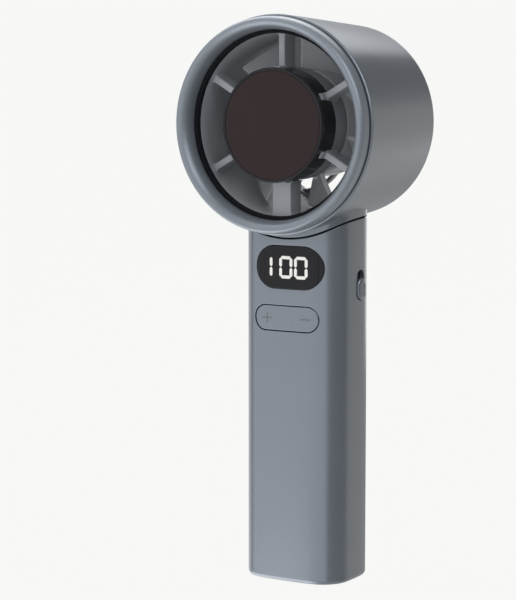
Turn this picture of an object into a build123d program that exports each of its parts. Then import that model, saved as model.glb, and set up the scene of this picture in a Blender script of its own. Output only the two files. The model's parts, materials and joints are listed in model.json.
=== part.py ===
from build123d import *
import math
import os

# Handheld turbo fan with a cooled contact plate.
# Millimetres. Origin at the centre of the handle's base, +Z up, the air inlet faces -Y.
# Axial places in the head are Y values: the front is negative and the back is positive.

# Head
HEAD_Z = 159.8          # height of the fan axis
BARREL_R_FRONT = 37.5
BARREL_R_BACK = 34.0
BARREL_FRONT = -23.2
BARREL_BACK = 31.0
BARREL_WALL = 1.8
BARREL_EDGE_R = 1.5
BARREL_NOSE_R = 0.5
REVEAL = 0.5            # groove between bezel and barrel

# Bezel
BEZEL_R = 36.7
BEZEL_FRONT = -28.9
BEZEL_CREST_R = 35.4
BEZEL_SHOULDER = -26.4
BEZEL_HEEL_R = 0.35
LIP_R = 32.3
LIP_FRONT = -23.8
LIP_BACK = -22.8
SPIGOT_R = 35.7
SPIGOT_BACK = -20.5

# Stator duct and hub
DUCT_R = 31.0
DUCT_WALL = 1.2
DUCT_FRONT = -20.8
DUCT_BACK = 24.0
HUB_R = 19.3
HUB_BORE_R = 17.2
HUB_STEP = -15.3
HUB_SPIGOT_R = 18.4
HUB_SPIGOT_FRONT = -23.5
HUB_BACK = -7.5
HUB_PLATE = 1.5
COLLAR_R = 19.5
COLLAR_BORE_R = 18.5
COLLAR_FRONT = -24.0
SPOKES = 6
SPOKE_W = 2.4
SPOKE_ROUND = 0.5
WIRE_SPOKE_W = 7.2      # the bottom spoke carries the wires
SPOKE_FRONT = -18.5
SPOKE_BACK = -11.3
TAB_FRONT = -21.6
TAB_R = 19.9
CHANNEL = (5.4, 2.4)    # wire channel in the bottom spoke
CHANNEL_Y = -13.4
LEAD_R = 33.3           # the wires' run between duct and barrel
LEAD_Y = 1.2
LEAD_PITCH = 0.95

# Cooled plate stack
PLATE_FRONT = -25.1
PLATE_T = 1.5
PLATE_R = 18.45
MODULE_SIDE = 22.0
MODULE_T = 3.0
PAD_T = 0.2
SINK_R = 16.0
SINK_BASE_T = 1.8
FIN_BACK = -15.2
FIN_T = 1.0
FIN_PITCH = 2.6

# Motor
SHAFT_R = 1.5
SHAFT_FRONT = -9.6
SHAFT_BACK = 12.8
BEARING_R = 3.5
BEARING_W = 3.0
BEARING_SPREAD = 6.0    # each bearing's middle from the motor's middle
BALL_R = 0.6
BALL_PITCH_R = 2.6
BALLS = 7
TUBE_R = 4.5
TUBE_FLANGE_R = 8.0
TUBE_BACK = 8.4
CORE_FRONT = -1.5
CORE_BACK = 6.5
CORE_R = 11.5
TEETH = 9
TOOTH_W = 2.4
COIL_T = 0.95
MAGNET_R = 11.9
MAGNETS = 12
YOKE_R = 14.4
YOKE_WALL = 1.0
YOKE_FRONT = -3.5
YOKE_BACK = 11.4
FIT = 0.02              # gap of a seated or running fit

# Impeller
ROTOR_HUB_R = 19.0
ROTOR_FRONT = -5.5
ROTOR_BACK = 13.0
ROTOR_WALL = 1.5
BLADES = 7
BLADE_TIP_R = 30.2
BLADE_FRONT = -5.0
BLADE_LENGTH = 17.0
BLADE_T = 1.5
BLADE_WRAP = 38.0       # degrees turned from the front edge to the back edge
SPINNER_H = 4.0

# Rear grille
GRILLE_FRONT = 24.1
GRILLE_BACK = 29.4
GRILLE_R = 31.9
GRILLE_RIM = 1.6
RIB_FRONT = 25.6
RIBS = 16
RIB_T = 1.3
RIB_SWEEP = 34.0
GRILLE_HUB_R = 9.0

# Handle
HANDLE_W = 39.5
HANDLE_D = 31.0
FRONT_BULGE = 1.5
SIDE_BULGE = 1.2
CORNER_R = 10.5
HANDLE_WALL = 1.8
BASE_EDGE_R = 1.5
SADDLE_PAD = 1.8        # lip that the barrel stands on
SADDLE_GAP = 0.6        # dark line between lip and handle
SADDLE_LIP_W = 3.0
HANDLE_TOP = 132.0      # height before the saddle is cut
INNER = HANDLE_WALL + 0.2

# Base
CAP_T = 2.2
LEDGE_T = 1.2
LEDGE_W = 1.2
CAP_SCREW_X = 12.3
CAP_SCREW_Y = 1.0
USB_Y = 6.5
USB_SIZE = (8.9, 3.2)
USB_WALL = 0.3
USB_MOUTH = 0.9
CHARGE_BOARD = (17.0, 20.0, 1.2)
CHARGE_BOARD_Z = 9.4

# Battery
CELL_R = 10.6
CELL_Y = 1.0
CELL_BASE = 13.0
CELL_LENGTH = 70.0
TAB_T = 0.3

# Front controls
LENS_X = 1.2            # the lens sits a little towards the slider's side
LENS_Z = 110.7
LENS_SIZE = (26.4, 15.2)
LENS_T = 1.2
LEDGE = 2.0             # lens ledge left in the wall
PART_LINE = 0.1
DIGIT_H = 7.8
DIGIT_W = 5.2
STROKE = 1.1
SEGMENT_GAP = 0.18
DIGIT_X = (0.05, 5.9)
ONE_X = -5.85
INLAY_T = 0.4
KEY_Z = 92.9
KEY_SIZE = (24.9, 8.6)
KEY_GAP = 0.3
KEY_RECESS = 0.15
PIVOT_Y = -12.4
PIVOT_R = 0.6
PIVOT_HOLE_R = 0.65
KEY_BACK = -11.6
MARK_X = 7.5
MARK_T = 0.2
BOARD_Y = -6.5
BOARD_T = 1.2
BOARD_W = 30.0
BOARD_Z = (84.5, 119.5)
SWITCH_X = 7.5
PLUNGER_R = 1.2
PLUNGER_HOLE_R = 1.25
PLUNGER_GAP = 0.05

# Side slider
SLOT_Z = (98.6, 109.3)
SLOT_Y = 2.5
SLOT_W = 5.5
KNOB_H = 7.6
KNOB_W = 5.1
KNOB_PROUD = 1.0
KNOB_ROUND = 0.9
SLIDE_END_GAP = 0.2
LEVER_Y = -3.9

# Chassis and neck
CHASSIS_WALL = 1.6
CHASSIS_TOP = 118.0
DECK_Y = (-4.4, -2.9)
TONGUE_BASE = 97.0
CHASSIS_SCREW_Z = (101.5, 111.5)
WIRE_R = 0.45

BOARD_FRONT = BOARD_Y - BOARD_T / 2
BOARD_BACK = BOARD_Y + BOARD_T / 2


def barrel_radius(y):
    """Outside radius of the tapered barrel at an axial place."""
    share = (y - BARREL_FRONT) / (BARREL_BACK - BARREL_FRONT)
    return BARREL_R_FRONT + share * (BARREL_R_BACK - BARREL_R_FRONT)


def turned(profile):
    """Solid of revolution on the fan axis, from a profile of radius and axial place."""
    return Pos(0, 0, HEAD_Z) * revolve(profile, Axis.Y)


def ring(r_in, r_out, y_front, y_back):
    """Plain ring or disc on the fan axis."""
    middle = Pos((r_in + r_out) / 2, (y_front + y_back) / 2)
    return turned(middle * Rectangle(r_out - r_in, y_back - y_front))


def cone(offset, y_front, y_back):
    """Solid of the barrel's outside, grown or shrunk by an offset."""
    outline = Polyline(
        (0, y_front),
        (barrel_radius(y_front) + offset, y_front),
        (barrel_radius(y_back) + offset, y_back),
        (0, y_back),
        close=True,
    )
    return turned(make_face(outline))


def around(shape, angle):
    """Copy of an axis-centred shape, turned clockwise as seen from the front."""
    return Pos(0, 0, HEAD_Z) * Rot(0, angle, 0) * shape


def block(x0, x1, y0, y1, z0, z1):
    """Box between two corners."""
    centre = Pos((x0 + x1) / 2, (y0 + y1) / 2, (z0 + z1) / 2)
    return centre * Box(x1 - x0, y1 - y0, z1 - z0)


def rod_y(x, z, radius, y0, y1):
    """Round bar along Y."""
    return Pos(x, (y0 + y1) / 2, z) * Rot(90, 0, 0) * Cylinder(radius, y1 - y0)


def rod_z(x, y, radius, z0, z1):
    """Round bar along Z."""
    return Pos(x, y, (z0 + z1) / 2) * Cylinder(radius, z1 - z0)


def joined(shapes):
    """Union of a list of shapes."""
    first, *rest = shapes
    for shape in rest:
        first = first + shape
    return first


def bulge_radius(chord, rise):
    """Radius of the arc that rises a given height over a chord."""
    return (chord * chord / 4 + rise * rise) / (2 * rise)


def handle_section(inset=0.0):
    """Handle plan: four gently bulged sides and round corners, moved in by an inset."""
    half_w = HANDLE_W / 2 - inset
    half_d = HANDLE_D / 2 - inset
    front_r = bulge_radius(HANDLE_W, FRONT_BULGE) - inset
    side_r = bulge_radius(HANDLE_D, SIDE_BULGE) - inset
    plan = Pos(0, front_r - half_d) * Circle(front_r)
    plan &= Pos(0, half_d - front_r) * Circle(front_r)
    plan &= Pos(half_w - side_r, 0) * Circle(side_r)
    plan &= Pos(side_r - half_w, 0) * Circle(side_r)
    return fillet(plan.vertices(), CORNER_R - inset)


def handle_solid(inset, z0, z1):
    """Straight prism of the handle plan."""
    return Pos(0, 0, z0) * extrude(handle_section(inset), z1 - z0)


def handle_skin(outer, inner, z0, z1):
    """Layer of the handle wall between two insets."""
    return handle_solid(outer, z0, z1) - handle_solid(inner, z0 - 1, z1 + 1)


def stadium(size, z, grow=0.0, x=0.0):
    """Upright stadium bar through the front wall, along Y."""
    width, height = size[0] + 2 * grow, size[1] + 2 * grow
    outline = RectangleRounded(width, height, height / 2 - 0.01)
    bar = extrude(Plane.XZ * outline, HANDLE_D / 2 + 5)
    return Pos(x, 0, z) * bar


def wire(points, bend):
    """Round insulated wire along straight runs joined by arcs."""
    path = FilletPolyline(*points, radius=bend)
    section = Plane(origin=path @ 0, z_dir=path % 0) * Circle(WIRE_R)
    return sweep(section, path=path)


# ---------------------------------------------------------------- head

def make_bezel():
    """Front ring: a rolled crest, a flared inner lip and a spigot that enters the barrel."""
    outer = EllipticalCenterArc(
        (BEZEL_CREST_R, BEZEL_SHOULDER),
        BEZEL_R - 0.05 - BEZEL_CREST_R,
        BEZEL_SHOULDER - BEZEL_FRONT,
        start_angle=270,
        arc_size=90,
    )
    inner = EllipticalCenterArc(
        (BEZEL_CREST_R, LIP_FRONT),
        BEZEL_CREST_R - LIP_R,
        LIP_FRONT - BEZEL_FRONT,
        start_angle=180,
        arc_size=90,
    )
    back = BARREL_FRONT - REVEAL
    sides = Polyline(
        outer @ 1,
        (BEZEL_R, back),
        (SPIGOT_R, back),
        (SPIGOT_R, SPIGOT_BACK),
        (SPIGOT_R - 1.6, SPIGOT_BACK),
        (SPIGOT_R - 1.6, LIP_BACK),
        (LIP_R, LIP_BACK),
        inner @ 0,
    )
    profile = make_face(Curve() + [inner, outer, sides])
    heel = [v for v in profile.vertices() if abs(v.X - BEZEL_R) < 0.01 and abs(v.Y - back) < 0.01]
    return turned(fillet(heel, BEZEL_HEEL_R))


def make_duct_gasket():
    """Foam ring squeezed between the bezel's lip and the duct."""
    return ring(DUCT_R, DUCT_R + DUCT_WALL + 1.0, LIP_BACK, DUCT_FRONT)


def make_barrel():
    """Tapered barrel wall with rounded ends and a straight seat for the bezel."""
    outline = Polyline(
        (SPIGOT_R + 0.1, BARREL_FRONT),
        (BARREL_R_FRONT, BARREL_FRONT),
        (BARREL_R_BACK, BARREL_BACK),
        (BARREL_R_BACK - BARREL_WALL, BARREL_BACK),
        (barrel_radius(SPIGOT_BACK) - BARREL_WALL, SPIGOT_BACK),
        (SPIGOT_R + 0.1, SPIGOT_BACK),
        close=True,
    )
    profile = make_face(outline)
    back_edge = profile.vertices().sort_by(Axis.Y)[-2:].sort_by(Axis.X)[-1]
    profile = fillet(back_edge, BARREL_EDGE_R)
    nose = profile.vertices().sort_by(Axis.Y)[:2].sort_by(Axis.X)[-1]
    return turned(fillet(nose, BARREL_NOSE_R))


def make_head_shell():
    """Barrel with the tongue and gussets that reach down into the handle."""
    shell = make_barrel()
    lip = handle_skin(0, SADDLE_LIP_W, 112, HANDLE_TOP) & cone(SADDLE_PAD, -40, 40)
    shell += lip - cone(-BARREL_WALL / 2, -41, 41)
    neck_top = HEAD_Z - BARREL_R_BACK
    tongue = block(-8.6, 8.6, 9.2, 11.3, TONGUE_BASE, neck_top)
    gussets = [block(x - 0.9, x + 0.9, -2, 9.5, 117.5, neck_top) for x in (-7.7, 7.7)]
    stub = joined([tongue, *gussets]) - cone(-BARREL_WALL / 2, BARREL_FRONT, BARREL_BACK - 1)
    shell += stub
    shell -= block(-3.6, 3.6, -1.4, 4.4, HEAD_Z - 40, HEAD_Z - 32.5)
    for z in CHASSIS_SCREW_Z:
        shell -= rod_y(0, z, 0.9, 8, 12)
    return shell


def make_duct_sleeve():
    """Smooth air duct with outside ribs that centre it in the barrel."""
    sleeve = ring(DUCT_R, DUCT_R + DUCT_WALL, DUCT_FRONT, DUCT_BACK)
    for number in range(SPOKES):
        rib = block(-1, 1, SPIGOT_BACK + 0.3, -12, DUCT_R + DUCT_WALL - 0.3, 34.8)
        sleeve += around(rib, (number + 0.5) * 360 / SPOKES)
    return sleeve - wire_channel()


def make_stator_hub():
    """Cup that holds the cooled stack in front and the motor's bearing tube behind."""
    hub = ring(HUB_BORE_R, HUB_R, HUB_STEP, HUB_BACK)
    hub += ring(HUB_BORE_R, HUB_SPIGOT_R, HUB_SPIGOT_FRONT, HUB_STEP + 0.5)
    hub += ring(TUBE_R + FIT, HUB_R - 0.5, HUB_BACK - HUB_PLATE, HUB_BACK)
    for number in range(SPOKES):
        angle = number * 360 / SPOKES
        half = spoke_width(angle) / 2
        tab = block(-half, half, TAB_FRONT, HUB_STEP + 1, HUB_SPIGOT_R - 0.4, TAB_R)
        hub += around(tab, angle) & ring(0, TAB_R, TAB_FRONT - 1, HUB_STEP + 2)
    hub -= wire_channel()
    hub -= block(-2.6, 2.6, -10, -7, HEAD_Z - 13.5, HEAD_Z - 10)
    for number in range(8):
        hub -= around(rod_y(0, 12.5, 1.6, -10, -7), (number + 0.5) * 45)
    return hub


def spoke_width(angle):
    """The bottom spoke is wide, because the wires run through it."""
    return WIRE_SPOKE_W if angle == 180 else SPOKE_W


def wire_channel():
    """Upright channel from the hub through the bottom spoke and the duct."""
    half_x, half_y = CHANNEL[0] / 2, CHANNEL[1] / 2
    return block(-half_x, half_x, CHANNEL_Y - half_y, CHANNEL_Y + half_y, HEAD_Z - 35, HEAD_Z - 15)


def make_duct_spokes():
    """Six spokes between hub and duct, each with a rounded front edge."""
    span = ring(HUB_R, DUCT_R, SPOKE_FRONT - 1, SPOKE_BACK + 1)
    span += ring(TAB_R, DUCT_R, SPOKE_FRONT - 1, HUB_STEP + 1)
    span -= ring(HUB_R - 1, TAB_R, SPOKE_FRONT - 1, HUB_STEP + 1)
    spokes = []
    for number in range(SPOKES):
        angle = number * 360 / SPOKES
        half = spoke_width(angle) / 2
        bar = block(-half, half, SPOKE_FRONT, SPOKE_BACK, HUB_R - 1, DUCT_R + 1)
        front_edges = bar.edges().filter_by(Axis.Z).sort_by(Axis.Y)[:2]
        bar = fillet(front_edges, SPOKE_ROUND)
        spokes.extend(((around(bar, angle) & span) - wire_channel()).solids())
    return Compound(children=spokes)


def make_hub_collar():
    """Black collar in front of the hub, notched for the spoke tabs."""
    collar = ring(COLLAR_BORE_R, COLLAR_R, COLLAR_FRONT, HUB_STEP - 0.1)
    for number in range(SPOKES):
        angle = number * 360 / SPOKES
        width = spoke_width(angle) + 0.3
        notch = block(-width / 2, width / 2, TAB_FRONT - 0.2, HUB_STEP + 1, 17, 21)
        collar -= around(notch, angle)
    return collar


def make_plate_ring():
    """Thin trim ring round the cooled plate."""
    profile = Pos((PLATE_R + 0.05 + COLLAR_R) / 2, (PLATE_FRONT + COLLAR_FRONT) / 2)
    profile *= Rectangle(COLLAR_R - PLATE_R - 0.05, COLLAR_FRONT - PLATE_FRONT)
    front_outer = profile.vertices().sort_by(Axis.Y)[:2].sort_by(Axis.X)[-1]
    return turned(fillet(front_outer, 0.45))


def make_cold_plate():
    """Anodised metal disc that is held against the skin."""
    return ring(0, PLATE_R, PLATE_FRONT, PLATE_FRONT + PLATE_T)


def stack_places():
    """Axial places of the pad, module, pad and heat sink behind the cooled plate."""
    plate_back = PLATE_FRONT + PLATE_T
    module_front = plate_back + PAD_T
    module_back = module_front + MODULE_T
    return plate_back, module_front, module_back, module_back + PAD_T


def square_on_axis(side, y0, y1):
    """Square tile centred on the fan axis."""
    half = side / 2
    return block(-half, half, y0, y1, HEAD_Z - half, HEAD_Z + half)


def make_peltier_module():
    """Two ceramic plates with rows of small thermoelectric legs between them."""
    _, front, back, _ = stack_places()
    tiles = [square_on_axis(MODULE_SIDE, front, front + 0.7)]
    tiles.append(square_on_axis(MODULE_SIDE, back - 0.7, back))
    pitch = MODULE_SIDE / 6
    for column in range(6):
        for row in range(6):
            x = (column - 2.5) * pitch
            z = HEAD_Z + (row - 2.5) * pitch
            tiles.append(block(x - 0.9, x + 0.9, front + 0.6, back - 0.6, z - 0.9, z + 0.9))
    return joined(tiles)


def make_thermal_pads():
    """Grease pads on both sides of the module."""
    plate_back, front, back, sink_front = stack_places()
    pads = square_on_axis(MODULE_SIDE - 1, plate_back, front)
    return pads + square_on_axis(MODULE_SIDE - 1, back, sink_front)


def make_heat_sink():
    """Round finned sink inside the hub, notched for the module's wires."""
    front = stack_places()[3]
    sink = ring(0, SINK_R, front, front + SINK_BASE_T)
    count = int((SINK_R - 3) / FIN_PITCH)
    for number in range(-count, count + 1):
        x = number * FIN_PITCH
        reach = math.sqrt(SINK_R**2 - (abs(x) + FIN_T)**2) - 0.3
        base = front + SINK_BASE_T - 0.2
        sink += block(x - FIN_T / 2, x + FIN_T / 2, base, FIN_BACK, HEAD_Z - reach, HEAD_Z + reach)
    return sink - block(-3.2, 3.2, front - 1, FIN_BACK + 1, HEAD_Z - 18, HEAD_Z - 13.6)


# ---------------------------------------------------------------- motor

def make_bearing_tube():
    """Flanged brass tube that seats both bearings and carries the stator core."""
    front = HUB_BACK - HUB_PLATE
    tube = ring(BEARING_R, TUBE_R, front - 1, TUBE_BACK)
    tube += ring(BEARING_R, TUBE_FLANGE_R, front - 1, front)
    seat = BEARING_SPREAD - BEARING_W / 2
    return tube + ring(BEARING_R - 0.4, BEARING_R + 0.1, -seat, seat)


def bearing_ring(r_in, r_out):
    """One grooved race in both bearings."""
    races = []
    groove = Pos(0, 0, HEAD_Z) * Rot(90, 0, 0) * Torus(BALL_PITCH_R, BALL_R + 0.05)
    for side in (-1, 1):
        middle = side * BEARING_SPREAD
        race = ring(r_in, r_out, middle - BEARING_W / 2, middle + BEARING_W / 2)
        races.append(race - Pos(0, middle, 0) * groove)
    return races[0] + races[1]


def make_bearing_balls():
    """Ball sets of both bearings."""
    balls = []
    for side in (-1, 1):
        for number in range(BALLS):
            ball = Pos(0, side * BEARING_SPREAD, BALL_PITCH_R) * Sphere(BALL_R)
            balls.append(around(ball, number * 360 / BALLS))
    return Compound(children=balls)


def make_shaft():
    """Ground steel motor shaft."""
    return ring(0, SHAFT_R, SHAFT_FRONT, SHAFT_BACK)


def make_shaft_clip():
    """Clip that keeps the shaft from pulling out of the front bearing."""
    front = -BEARING_SPREAD - BEARING_W / 2
    return ring(SHAFT_R + FIT, 2.3, front - 0.6, front - 0.1)


def make_motor_board():
    """Round driver board behind the hub's back plate."""
    board = ring(TUBE_R + 0.1, 11.0, HUB_BACK + 0.1, HUB_BACK + 1.0)
    for number in range(3):
        board += around(block(-1.4, 1.4, HUB_BACK + 0.9, HUB_BACK + 1.9, 6.4, 9.2), 60 + number * 60)
    return board


def make_motor_core():
    """Laminated stator core with nine shoed teeth."""
    core = ring(TUBE_R + FIT, 6.8, CORE_FRONT, CORE_BACK)
    shoes = ring(CORE_R - 1.0, CORE_R, CORE_FRONT, CORE_BACK)
    for number in range(TEETH):
        angle = number * 360 / TEETH
        half = TOOTH_W / 2
        core += around(block(-half, half, CORE_FRONT, CORE_BACK, 6.4, CORE_R - 0.6), angle)
        slot = block(-0.7, 0.7, CORE_FRONT - 1, CORE_BACK + 1, 9, 13)
        shoes -= around(slot, angle + 180 / TEETH)
    return core + shoes


def make_motor_windings():
    """Copper coil round each tooth."""
    hole_half = TOOTH_W / 2 + 0.05
    coils = []
    for number in range(TEETH):
        outer = hole_half + COIL_T
        coil = block(-outer, outer, CORE_FRONT - 1.3, CORE_BACK + 1.3, 7.1, 10.2)
        coil = fillet(coil.edges().filter_by(Axis.Z), 0.8)
        coil -= block(-hole_half, hole_half, CORE_FRONT - 0.05, CORE_BACK + 0.05, 6, 11)
        coils.append(around(coil, number * 360 / TEETH))
    return Compound(children=coils)


def make_rotor_magnets():
    """Arc magnets inside the yoke."""
    r_out = YOKE_R - YOKE_WALL - FIT
    magnets = ring(MAGNET_R, r_out, CORE_FRONT - 0.5, CORE_BACK + 0.5)
    for number in range(MAGNETS):
        slot = block(-0.2, 0.2, CORE_FRONT - 1, CORE_BACK + 1, 10, 15)
        magnets -= around(slot, number * 360 / MAGNETS)
    return magnets


def make_rotor_yoke():
    """Steel cup that carries the magnets and grips the shaft."""
    yoke = ring(YOKE_R - YOKE_WALL, YOKE_R, YOKE_FRONT, YOKE_BACK)
    yoke += ring(SHAFT_R + FIT, YOKE_R, YOKE_BACK - 1.0, YOKE_BACK)
    return yoke + ring(SHAFT_R + FIT, 3.2, YOKE_BACK - 2.2, YOKE_BACK)


def make_blade():
    """Twisted blade with a straight radial front edge."""
    root = ROTOR_HUB_R - 0.8
    middle = (root + BLADE_TIP_R + 1) / 2
    plane = Plane(origin=(0, BLADE_FRONT, middle), x_dir=(1, 0, 0), z_dir=(0, 1, 0))
    edge = plane * Rectangle(BLADE_T, BLADE_TIP_R + 1 - root)
    return Solid.extrude_linear_with_rotation(
        edge.face(), (0, BLADE_FRONT, 0), (0, BLADE_LENGTH, 0), BLADE_WRAP
    )


def make_impeller_hub():
    """Hub cup with a rounded back edge and a seat for the rotor yoke."""
    cup = ring(ROTOR_HUB_R - ROTOR_WALL, ROTOR_HUB_R, ROTOR_FRONT, ROTOR_BACK)
    cup += ring(SHAFT_R + FIT, ROTOR_HUB_R, ROTOR_BACK - ROTOR_WALL, ROTOR_BACK)
    cup += ring(YOKE_R + FIT, YOKE_R + 1.2, 3.0, ROTOR_BACK - ROTOR_WALL + 0.1)
    rims = cup.edges().filter_by(GeomType.CIRCLE)
    back_rim = [e for e in rims if abs(e.radius - ROTOR_HUB_R) < 0.01 and e.center().Y > 12]
    return fillet(back_rim, 0.9)


def make_impeller_blades():
    """Twisted blades, trimmed to the hub and the tip radius."""
    span = ring(ROTOR_HUB_R, BLADE_TIP_R, BLADE_FRONT - 1, BLADE_FRONT + BLADE_LENGTH + 1)
    blade = (Pos(0, 0, HEAD_Z) * make_blade()) & span
    centred = Pos(0, 0, -HEAD_Z) * blade
    blades = []
    for number in range(BLADES):
        blades.extend(around(centred, number * 360 / BLADES).solids())
    return Compound(children=blades)


def make_spinner_cap():
    """Domed cap over the back of the impeller hub."""
    arc = ThreePointArc((0, ROTOR_BACK + SPINNER_H), (7, ROTOR_BACK + SPINNER_H * 0.8), (12.6, ROTOR_BACK + 0.8))
    rest = Polyline(arc @ 1, (12.6, ROTOR_BACK), (0, ROTOR_BACK), arc @ 0)
    return turned(make_face(Curve() + [arc, rest]))


def make_grille_rim():
    """Outer ring of the outlet grille."""
    return ring(GRILLE_R - GRILLE_RIM, GRILLE_R, GRILLE_FRONT, GRILLE_BACK)


def make_grille_hub():
    """Centre disc of the outlet grille."""
    return ring(0, GRILLE_HUB_R, RIB_FRONT, GRILLE_BACK)


def make_grille_ribs():
    """Swept ribs of the outlet grille."""
    root, tip = GRILLE_HUB_R - 0.6, GRILLE_R - 0.8
    middle_r = (root + tip) / 2
    sweep_angle = math.radians(RIB_SWEEP)
    lead = 0.35 * sweep_angle
    arc = ThreePointArc(
        (0, root),
        (middle_r * math.sin(lead), middle_r * math.cos(lead)),
        (tip * math.sin(sweep_angle), tip * math.cos(sweep_angle)),
    )
    depth = GRILLE_BACK - 0.6 - RIB_FRONT
    bar = Pos(0, GRILLE_BACK - 0.6, 0) * extrude(Plane.XZ * SlotArc(arc, RIB_T), depth)
    span = ring(GRILLE_HUB_R, GRILLE_R - GRILLE_RIM, GRILLE_FRONT, GRILLE_BACK)
    ribs = []
    for number in range(RIBS):
        ribs.extend((around(bar, number * 360 / RIBS) & span).solids())
    return Compound(children=ribs)


# ---------------------------------------------------------------- handle

def make_handle_tube():
    """Tube with the saddle top, lens pocket, key hole, slider slot and base ledge."""
    body = handle_solid(0, 0, HANDLE_TOP)
    base_edges = body.faces().sort_by(Axis.Z)[0].edges()
    body = fillet(base_edges, BASE_EDGE_R)
    body -= handle_solid(HANDLE_WALL, -1, HANDLE_TOP + 1)
    body += handle_skin(HANDLE_WALL - 0.2, HANDLE_WALL + LEDGE_W, CAP_T + 0.1, CAP_T + 0.1 + LEDGE_T)
    body -= cone(SADDLE_PAD + SADDLE_GAP, -40, 40)
    body -= stadium(LENS_SIZE, LENS_Z, x=LENS_X) - handle_solid(LENS_T, 90, 130)
    body -= stadium(LENS_SIZE, LENS_Z, -LEDGE, LENS_X)
    body -= stadium(KEY_SIZE, KEY_Z, KEY_GAP)
    slot_h = SLOT_Z[1] - SLOT_Z[0]
    slot = extrude(Plane.YZ * RectangleRounded(SLOT_W, slot_h, SLOT_W / 2 - 0.02), HANDLE_W)
    body -= Pos(0, SLOT_Y, sum(SLOT_Z) / 2) * slot
    return body


def make_neck_gasket():
    """Dark seal between the handle's saddle and the barrel."""
    wall = handle_skin(0.7, HANDLE_WALL, 110, HANDLE_TOP)
    return (wall & cone(SADDLE_PAD + SADDLE_GAP - FIT, -40, 40)) - cone(SADDLE_PAD + FIT, -41, 41)


def make_bottom_cap():
    """Base plate inside the tube, with the charging opening and screw seats."""
    cap = handle_solid(HANDLE_WALL + 0.1, 0, CAP_T)
    opening = RectangleRounded(USB_SIZE[0] + 0.6, USB_SIZE[1] + 0.6, 1.85)
    cap -= Pos(0, USB_Y, -1) * extrude(opening, CAP_T + 2)
    for x in (-CAP_SCREW_X, CAP_SCREW_X):
        cap -= rod_z(x, CAP_SCREW_Y, 1.15, -1, CAP_T + 1)
        cap -= rod_z(x, CAP_SCREW_Y, 2.2, -1, 1.4)
    return cap


def screw_z(x, y, head_z, length):
    """Pan-head screw that points up, with a cross recess."""
    screw = rod_z(x, y, 2.0, head_z, head_z + 1.1)
    screw += rod_z(x, y, 1.0, head_z + 1.0, head_z + 1.0 + length)
    for size in ((2.2, 0.5), (0.5, 2.2)):
        screw -= Pos(x, y, head_z) * Box(size[0], size[1], 1.2)
    return screw


def screw_y(x, z, head_y, length, direction):
    """Small pan-head screw along Y, driven in the given direction."""
    ends = sorted((head_y, head_y + direction * 1.0))
    screw = rod_y(x, z, 1.6, *ends)
    ends = sorted((head_y + direction * 0.9, head_y + direction * (1.0 + length)))
    screw += rod_y(x, z, 0.8, *ends)
    for size in ((1.8, 0.4), (0.4, 1.8)):
        screw -= Pos(x, head_y, z) * Box(size[0], 1.0, size[1])
    return screw


def make_cap_screws():
    """Two screws that hold the base plate to the chassis."""
    screws = [screw_z(x, CAP_SCREW_Y, 0.3, 6.0) for x in (-CAP_SCREW_X, CAP_SCREW_X)]
    return Compound(children=screws)


def make_chassis():
    """Moulded spine: back shell, side rails, battery shelves, screw bosses and deck."""
    base = CAP_T + LEDGE_T + 0.3
    shell = handle_skin(INNER, INNER + CHASSIS_WALL, base, CHASSIS_TOP)
    chassis = shell & block(-30, 30, -4, 30, base, CHASSIS_TOP)
    chassis -= block(-13, 13, -6, 8, base - 1, CHASSIS_TOP + 1)
    for z0 in (CELL_BASE - 1.8, CELL_BASE + CELL_LENGTH + 0.6):
        shelf = handle_solid(INNER + 0.4, z0, z0 + 1.2)
        chassis += shelf & block(-30, 30, -4, 30, z0, z0 + 1.2)
    for x in (-CAP_SCREW_X, CAP_SCREW_X):
        chassis += rod_z(x, CAP_SCREW_Y, 2.4, base, CELL_BASE - 1.5)
        chassis -= rod_z(x, CAP_SCREW_Y, 1.05, 0, 10)
    chassis += block(-15.4, 15.4, *DECK_Y, CELL_BASE + CELL_LENGTH + 0.6, 89.5)
    for x in (-12.5, 12.5):
        chassis += rod_y(x, 87.0, 2.0, BOARD_BACK + 0.02, DECK_Y[1])
        chassis -= rod_y(x, 87.0, 0.85, BOARD_BACK - 1, DECK_Y[1] + 1)
    chassis -= block(-5, 5, 2, 6, 80, 90)
    chassis -= block(10, 25, -10, 9, SLOT_Z[0] - 6, CHASSIS_TOP + 1)
    chassis -= cone(0.6, -40, 40)
    for z in CHASSIS_SCREW_Z:
        chassis -= rod_y(0, z, 0.95, 11, 14)
        chassis -= rod_y(0, z, 1.75, 12.4, 16)
    return chassis


def make_chassis_screws():
    """Screws that hold the head's tongue to the chassis."""
    screws = [screw_y(0, z, 13.4, 3.2, -1) for z in CHASSIS_SCREW_Z]
    return Compound(children=screws)


def make_battery_cell():
    """Cylindrical lithium cell with a raised button."""
    cell = rod_z(0, CELL_Y, CELL_R, CELL_BASE, CELL_BASE + CELL_LENGTH - 0.6)
    ends = cell.edges().filter_by(GeomType.CIRCLE)
    cell = fillet(ends, 0.6)
    return cell + rod_z(0, CELL_Y, 5.5, CELL_BASE + CELL_LENGTH - 1, CELL_BASE + CELL_LENGTH)


def make_battery_tabs():
    """Nickel strips on both ends of the cell."""
    low = block(-4, 4, CELL_Y - 6, CELL_Y + 6, CELL_BASE - TAB_T, CELL_BASE)
    top = CELL_BASE + CELL_LENGTH
    high = block(-4, 4, CELL_Y - 4, CELL_Y + 4.5, top, top + TAB_T)
    return Compound(children=[low, high])


def make_battery_leads():
    """Two wires from the cell's top strip to the back of the main board."""
    start = CELL_BASE + CELL_LENGTH + TAB_T
    wires = []
    for x in (-3.0, 3.0):
        points = [(x, 4.0, start), (x, 4.0, 94.0), (x, BOARD_BACK, 94.0)]
        wires.append(wire(points, 3.5))
    return Compound(children=wires)


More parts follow.
